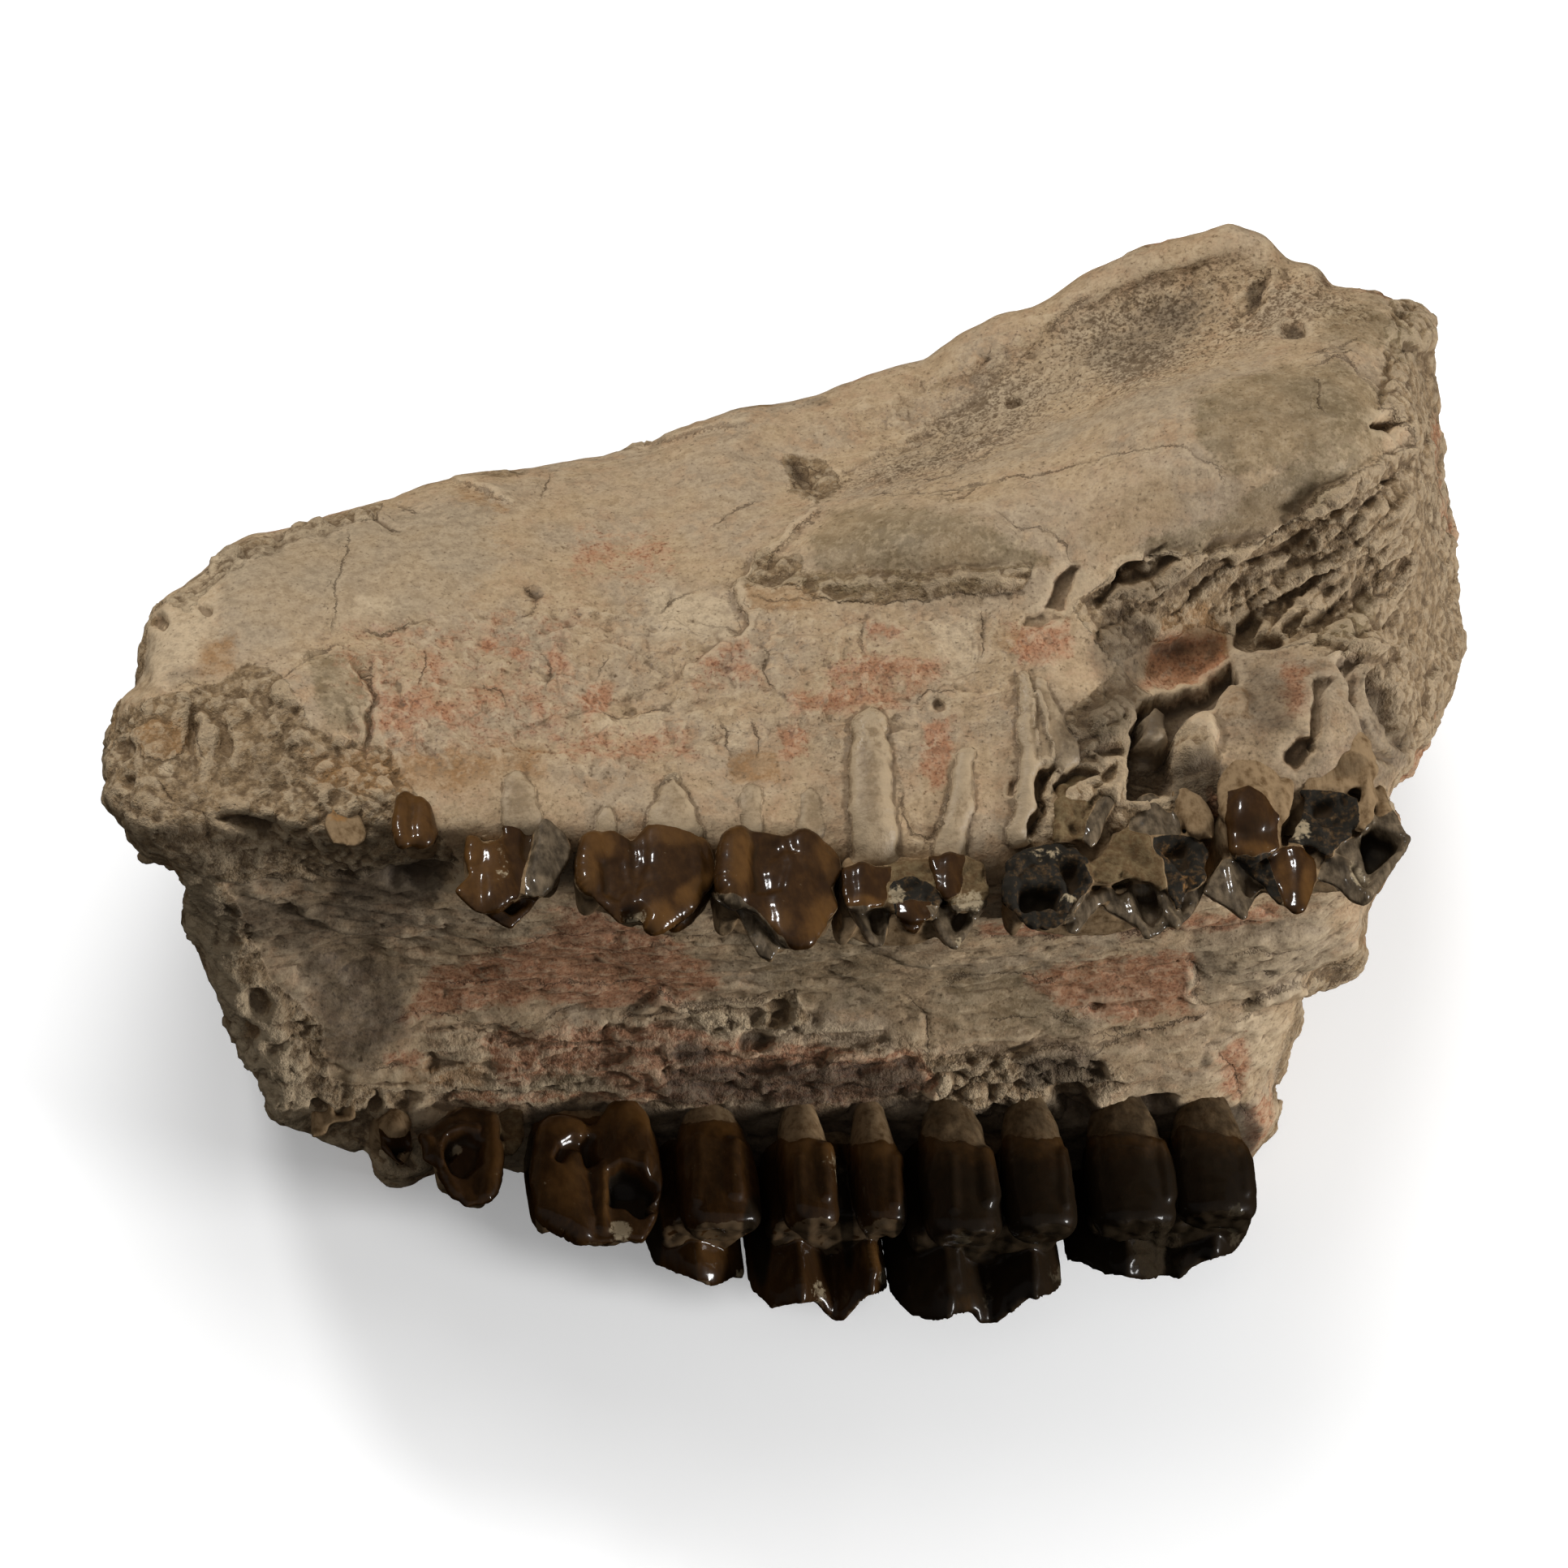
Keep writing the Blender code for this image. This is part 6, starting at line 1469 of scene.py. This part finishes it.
# Colours on them: what, middle, half sizes, turn and strength. The "dark" marks on the right teeth
# are painted shade over dark matrix, in the gaps between their columns and over the rear molars,
# which lie in shadow.
TOOTH_STAINS = {
    "left_canine": (
        ("amber", (-44, -4.6), (1.6, 1.4), 0, 0.8), ("ochre", (-44.6, -3), (1.4, 1.0), 0, 0.7),
    ),
    "left_premolar_1": (("amber", (-37.6, -3.4), (2.0, 3.0), 0, 0.8),),
    "left_premolar_2": (
        ("white", (-28.4, -8.6), (0.7, 2.2), 8, 0.45), ("dark", (-24.8, -8.4), (1.0, 1.4), 20, 0.5),
        ("amber", (-31.2, -8), (3.0, 4.0), 10, 0.7),
    ),
    "left_premolar_3": (
        ("white", (-14.9, -13.5), (1.2, 0.8), 0, 0.8), ("amber", (-18.4, -6), (1.6, 1.4), 0, 0.9),
        ("amber", (-11, -5.4), (3.4, 1.2), 0, 0.8), ("amber", (-12.4, -13.6), (1.6, 1.2), -40, 1.0),
        ("amber", (-9.4, -11), (2.2, 0.8), 38, 0.8), ("amber", (-19.6, -9), (0.8, 3), 0, 0.7),
    ),
    "left_premolar_4": (
        ("amber", (-4.6, -8), (1.2, 3.2), 0, 0.9), ("amber", (3.6, -13.6), (1.3, 2.4), -30, 0.9),
        ("amber", (4.4, -8), (1, 2), 20, 0.6), ("amber", (-0.6, -13.6), (1.6, 1), -45, 0.7),
    ),
    "left_molar_1": (
        ("amber", (8, -12.2), (2, 0.7), 0, 0.9), ("white", (11.2, -11.4), (1, 1.1), 20, 0.9),
        ("white", (18.4, -12), (1.8, 1.4), 20, 0.8), ("white", (17.6, -16), (0.4, 0.9), 0, 0.6),
    ),
    "left_molar_2": (
        ("white", (28.7, -11.4), (0.8, 0.5), 20, 1.0), ("ochre", (40.6, -9.8), (1.2, 0.9), 20, 0.55),
        ("white", (26, -7.4), (2.6, 0.7), 0, 0.5), ("amber", (37.8, -14.6), (1.2, 0.5), 20, 0.8),
        ("ochre", (39, -7), (1.6, 1.4), 0, 0.5),
    ),
    "left_molar_3": (
        ("white", (52, -4.6), (0.9, 1.6), 20, 0.8), ("dark", (47.4, -5.2), (2.2, 1.8), 0, 0.5),
        ("dark", (57, 1.6), (2.6, 1.4), 10, 0.5), ("amber", (55.6, -6), (1.0, 1.0), 30, 1.0),
        ("white", (57.8, -9.4), (1.1, 1.8), 25, 0.8), ("amber", (50.4, -9), (0.8, 2.6), 10, 0.7),
        ("amber", (52.6, -10.4), (0.7, 2.2), -10, 0.8), ("amber", (47.4, -6.6), (2, 0.6), 0, 0.6),
    ),
    "right_premolar_2": (
        ("white", (-33, -36.5), (0.7, 0.6), 0, 0.9), ("amber", (-29.6, -37), (0.8, 3.4), 0, 0.7),
    ),
    "right_premolar_3": (
        ("white", (-16.6, -45.2), (1.2, 1.0), 30, 0.9), ("amber", (-22.6, -41), (2, 2.6), 0, 0.6),
        ("amber", (-18.3, -42), (0.6, 3), 0, 0.7),
    ),
    "right_premolar_4": (
        ("amber", (-7, -47), (2.6, 2), 0, 0.6), ("white", (-4.2, -49.8), (0.9, 0.7), 0, 0.8),
        ("dark", (-13, -46), (0.9, 3), 0, 1.0), ("dark", (-3.2, -45.6), (1.1, 4), 0, 1.0),
    ),
    "right_molar_1": (
        ("white", (5.2, -39.2), (0.8, 2.2), 10, 0.6), ("amber", (10, -48), (2, 1.6), 0, 0.8),
        ("white", (10.2, -50), (0.8, 1.4), 20, 0.8), ("white", (3.6, -51.4), (1.2, 1.4), 0, 0.6),
        ("dark", (-2.2, -46), (1.1, 5.5), 0, 1.0), ("dark", (6.2, -43), (0.8, 7), 6, 1.0),
        ("dark", (12.2, -46), (1.0, 5), 0, 1.0),
    ),
    "right_molar_2": (
        ("white", (18, -46), (1.0, 0.8), 0, 0.9), ("amber", (18.6, -52.6), (1.2, 0.7), 0, 0.9),
        ("white", (20.8, -52.4), (0.7, 2.4), 0, 0.6), ("white", (28.4, -49.8), (1.5, 1.2), 0, 0.8),
        ("dark", (24, -41), (1.4, 4), 0, 0.8), ("dark", (15.4, -41), (1.0, 4), 0, 0.6),
        ("dark", (12.4, -47), (1.2, 5.5), 0, 1.0), ("dark", (22.2, -43.6), (0.8, 7), 6, 1.0),
        ("dark", (29.9, -46), (1.1, 5), 0, 1.0), ("dark", (15, -47.4), (2.2, 1.4), 0, 0.8),
    ),
    "right_molar_3": (
        ("stone", (38, -47.6), (2.6, 3), 0, 1.0), ("amber", (37.4, -36.6), (3.6, 0.9), 0, 0.6),
        ("dark", (34, -41), (2.6, 2.8), 0, 0.8), ("dark", (43.6, -39.4), (3.4, 2.8), 0, 0.7),
        ("white", (45.8, -46), (0.7, 1.2), 0, 0.8), ("white", (46, -43.2), (1.0, 0.7), 0, 0.7),
        ("dark", (31.4, -44), (1.2, 5), 0, 1.0), ("dark", (39.6, -41), (0.7, 6), 4, 1.0),
        ("dark", (33, -46.6), (2.6, 1.6), 0, 0.9), ("dark", (43.6, -45), (2.4, 1.2), 0, 0.8),
    ),
}
# The rounded columns on the tongue side: drawn middle and half length, and the drawn worn top.
TONGUE_LOBES = {
    "right_premolar_4": (((-6.6, -37), 3.9, -43.6),),
    "right_molar_1": (((2.6, -37), 2.65, -43.2), ((9.7, -37), 2.35, -43.4)),
    "right_molar_2": (((18.0, -38), 3.75, -44.4), ((26.0, -38), 3.4, -44)),
    "right_molar_3": (((35.4, -38), 4.1, -43.6), ((43.9, -38), 4.0, -42.6)),
}
# The drawn line where the enamel of the right teeth starts, below their roots.
ENAMEL_LINES = {
    "right_premolar_3": ((-26, -34), (-20, -34), (-19, -33.6), (-16, -33.4), (-13, -33.8)),
    "right_premolar_4": ((-11, -34.6), (-9.5, -34.4), (-7, -34.0), (-4, -34.6), (-2.6, -35.4)),
    "right_molar_1": (
        (-0.4, -35.9), (0.6, -36.4), (2.6, -35.8), (5.2, -36.6), (7.6, -36.6), (9.8, -36.1), (12.6, -37),
    ),
    "right_molar_2": (
        (13.6, -35.4), (16, -36.2), (18.4, -36.2), (21.6, -37.6), (22.6, -35.6), (25.8, -36.1),
        (29.6, -35.7),
    ),
    "right_molar_3": (
        (31, -35.8), (35.6, -35.6), (39.4, -36.3), (40.2, -34.6), (43.4, -35.4), (48, -36.2),
    ),
}

ENAMEL = (0.025, 0.0105, 0.003, 1)
AMBER = (0.094, 0.043, 0.0115, 1)
ROOT = (0.245, 0.165, 0.09, 1)
ROOT_BROWN = (0.10, 0.058, 0.026, 1)
GLASSY = (0.17, 0.125, 0.078, 1)
GLASSY_DARK = (0.045, 0.032, 0.019, 1)
CHIPPED = (0.36, 0.285, 0.18, 1)
BLACKENED = (0.018, 0.0155, 0.012, 1)
enamel = Finish("brown_enamel_and_root")
place = enamel.place()
middle = enamel.noise(place, 1.6, 4, 0.6)
small = enamel.noise(place, 0.5, 3, 0.6)
grit = enamel.noise(place, 0.3, 3, 0.6)
veins = enamel.noise(enamel.stretched(place, -82, (5, 1, 1)), 0.8, 4, 0.6)
ragged = (middle - 0.5) * 0.8 + (small - 0.5) * 0.7
warm = enamel.painted("amber") * 0.7 + (veins - 0.5) * 0.9 + (middle - 0.5) * 0.6 + 0.24
brown = enamel.mix(warm.between(0.0, 1.15), ENAMEL, AMBER)
colour = enamel.mix((veins + ragged * 0.6).between(0.2, 0.66), ROOT_BROWN, ROOT)
covered = (enamel.painted("enamel") + (small - 0.5) * 0.3).between(0.4, 0.6)
colour = enamel.mix(covered, colour, brown)
glass = enamel.mix((veins * 0.7 + middle * 0.4).between(0.4, 0.75), GLASSY_DARK, GLASSY)
glassy = (enamel.painted("glass") + (small - 0.5) * 0.4).between(0.4, 0.6)
colour = enamel.mix(glassy, colour, glass)
chipped = (enamel.painted("worn") + ragged).between(0.45, 0.8)
colour = enamel.mix(chipped * 0.6, colour, enamel.mix(middle, ROOT_BROWN, GLASSY))
burnt = enamel.mix((middle * 0.5 + small * 0.6).between(0.52, 0.8), BLACKENED, ROOT_BROWN)
colour = enamel.mix((enamel.painted("black") + (small - 0.5) * 0.5).between(0.4, 0.6), colour, burnt)
rocky = enamel.mix((small * 0.6 + middle * 0.5).between(0.4, 0.7), STONE_DARK, (0.155, 0.11, 0.056, 1))
rock_share = (enamel.painted("stone") + (small - 0.5) * 0.6).between(0.4, 0.6)
colour = enamel.mix(rock_share, colour, rocky)
colour = enamel.mix((enamel.painted("ochre") + ragged).between(0.4, 0.8) * 0.8, colour, OCHRE)
colour = enamel.mix((enamel.painted("white") + ragged * 2.2).between(0.45, 0.9) * 0.8, colour, CHIPPED)
# Darker where the surface is hollow, as found from its shape.
darker_in_hollows = (enamel.painted("hollow") + (small - 0.5) * 0.3).between(0.58, 0.85) * 0.8
colour = enamel.mix(darker_in_hollows, colour, DARK)
# The "dark" paint: mostly painted shade, over the right teeth and in the gaps between their columns.
black = (enamel.painted("dark") + (middle - 0.5) * 0.5).between(0.3, 0.8)
colour = enamel.mix(black * 0.9, colour, (0.010, 0.007, 0.004, 1))
gloss = covered.most(glassy) * (1 - rock_share) * (1 - darker_in_hollows)
relief = (1 - gloss) * (grit * 0.8 + small * 0.6) * (0.4 + rock_share * 0.6)
relief = relief + gloss * (middle * 0.3 + veins * 0.2)
enamel.feed(enamel.shader, {
    "Base Color": colour,
    "Roughness": 0.75 - gloss * 0.3 + (small - 0.5) * 0.3,
    "Coat Weight": gloss * (0.45 - black * 0.25),
    "Coat Roughness": 0.11,
    "Specular IOR Level": 0.05,
    "Normal": enamel.bump(relief, 0.5, 0.25),
})

# How far down the bite the body of each of the other teeth reaches.
BODY_FLOORS = {
    "left_canine": 1, "left_premolar_1": 2, "left_premolar_2": 4, "left_premolar_3": 5,
    "left_premolar_4": 6, "left_molar_1": 4, "left_molar_2": 4, "left_molar_3": 6, "right_canine": 1,
    "right_premolar_1": 2.5, "right_premolar_2": 7, "right_premolar_3": 8,
}
# How much painted shade darkens the right teeth, which lie in the shadow of the left row and the
# skull, heavier to the rear.
RIGHT_TEETH_SHADE = {"right_premolar_4": 0.3, "right_molar_1": 0.44, "right_molar_2": 0.72, "right_molar_3": 0.80}
KINDS = ("enamel", "root", "glass", "black", "stone", "worn", "white", "dark", "amber", "ochre")
for name, (place, length, width) in TEETH.items():
    tooth = Tooth(name, place, length, width)
    shards = SHARDS.get(name, ())
    for _, behind, thickness, *outline in shards:
        tooth.shard(behind, thickness, outline)
    if name in WALLS:
        tooth.wall(*WALLS[name], -3)
        for (u, v), half_length, top_v in TONGUE_LOBES[name]:
            x, z = tooth.seen(u, v)
            _, top = tooth.seen(u, top_v)
            line = z - 1.6
            profile = NECK + ((line - 0.2, 0.95, 0.95), (line + 0.3, 1.02, 1.02), (line + 3.5, 1.07, 1.05),
                              (top - 1.2, 1.02, 1.0), (top - 0.3, 0.93, 0.94), (top, 0.8, 0.85))
            tooth.lobe(x, 2.9 - width / 2, half_length, 2.9, profile, slope=-0.25)
        floor = top - 3.5
        ends = floor + 3.2
    else:
        floor = BODY_FLOORS[name]
        ends = floor + 1.0
    body = ((-3, 0.7, 0.7), (0, 0.85, 0.9), (floor * 0.5, 1, 1), (floor, 0.95, 0.95))
    if name in WALLS:
        tooth.lobe(0, 1.4, length / 2 - 0.9, width / 2 - 3.6, body)
    else:
        tooth.lobe(0, -0.3, length / 2 - 0.9, width / 2 - 1.2, body)
    if length > 9 and name not in WALLS:
        rim = ((-1, 0.8, 0.8), (floor * 0.5, 1, 1), (ends - 0.6, 1, 0.95), (ends, 0.7, 0.85))
        for x in (-length / 2 + 1.3, length / 2 - 1.3):
            tooth.lobe(x, 0.2, 1.1, width / 2 - 2.0, rim)
    bmesh.ops.recalc_face_normals(tooth.solid, faces=tooth.solid.faces)
    grown = bpy.data.meshes.new(name)
    tooth.solid.to_mesh(grown)
    tooth.solid.free()

    carved = Carving(grown, 0, TOOTH_FINE, 3, 0.12)
    local = carved.points - np.array(tooth.middle)
    down = local @ np.array(BITE)
    for kind in KINDS:
        carved.paint[kind] = np.zeros(carved.count)
    line_u, line_v = np.transpose(ENAMEL_LINES.get(name, ((0, -99), (1, -99))))
    above = carved.points[:, 1] - np.interp(carved.points[:, 0], line_u, line_v)
    carved.paint["enamel"] = step(-0.12, 0.12, 0.2 * clouds(carved.points, 0.9, 7, 2) - above)
    worn = carved.normals @ np.array(BITE) + 0.3 * clouds(carved.points, 1.5, 8, 2)
    carved.paint["worn"] = step(0.7, 0.9, worn) * step(3, 5, down)
    for kind, _, _, *outline in shards:
        carved.cover(kind, outline, KINDS)
    for radii, height, *line in TOOTH_RIDGES.get(name, ()):
        carved.swell(radii, 0.75 * height, line)
    for depth, *outline in TOOTH_HOLES.get(name, ()):
        carved.sink(depth, outline)
    for kind, centre, half, turn, strength in TOOTH_STAINS.get(name, ()):
        carved.stain(kind, centre, half, turn, strength)
    # Painted shade over the right teeth, a little less on their roots.
    shade = RIGHT_TEETH_SHADE.get(name, 0) * (0.78 + 0.22 * step(0.5, 4.5, -above))
    carved.paint["dark"] = np.maximum(carved.paint["dark"], shade)
    if name in ENAMEL_LINES:
        carved.paint["amber"] = np.maximum(carved.paint["amber"], 0.8 * (1 - step(0.4, 3.0, -above)))
    carved.lift += 0.10 * clouds(carved.points, 2.4, 9, 2)
    carved.lift += 0.14 * carved.paint["enamel"] * (down > -1)
    rough = np.maximum(carved.paint["stone"], np.maximum(carved.paint["black"], 0.6 * carved.paint["worn"]))
    chip_edge, chip_number = chips(carved.points, 1.5, 12)
    carved.lift += rough * (0.8 * (chip_number - 0.5) + 0.45 * clouds(carved.points, 1.6, 10, 2)
                            + 0.2 * step(0, 0.3, chip_edge))
    carved.shape(2)
    dressed = carved.piece(name + "_carved", TOOTH_TRIANGLES)
    dressed.data.materials.clear()
    dressed.data.materials.append(enamel.material)
    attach(dressed, "root")
    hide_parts(name)
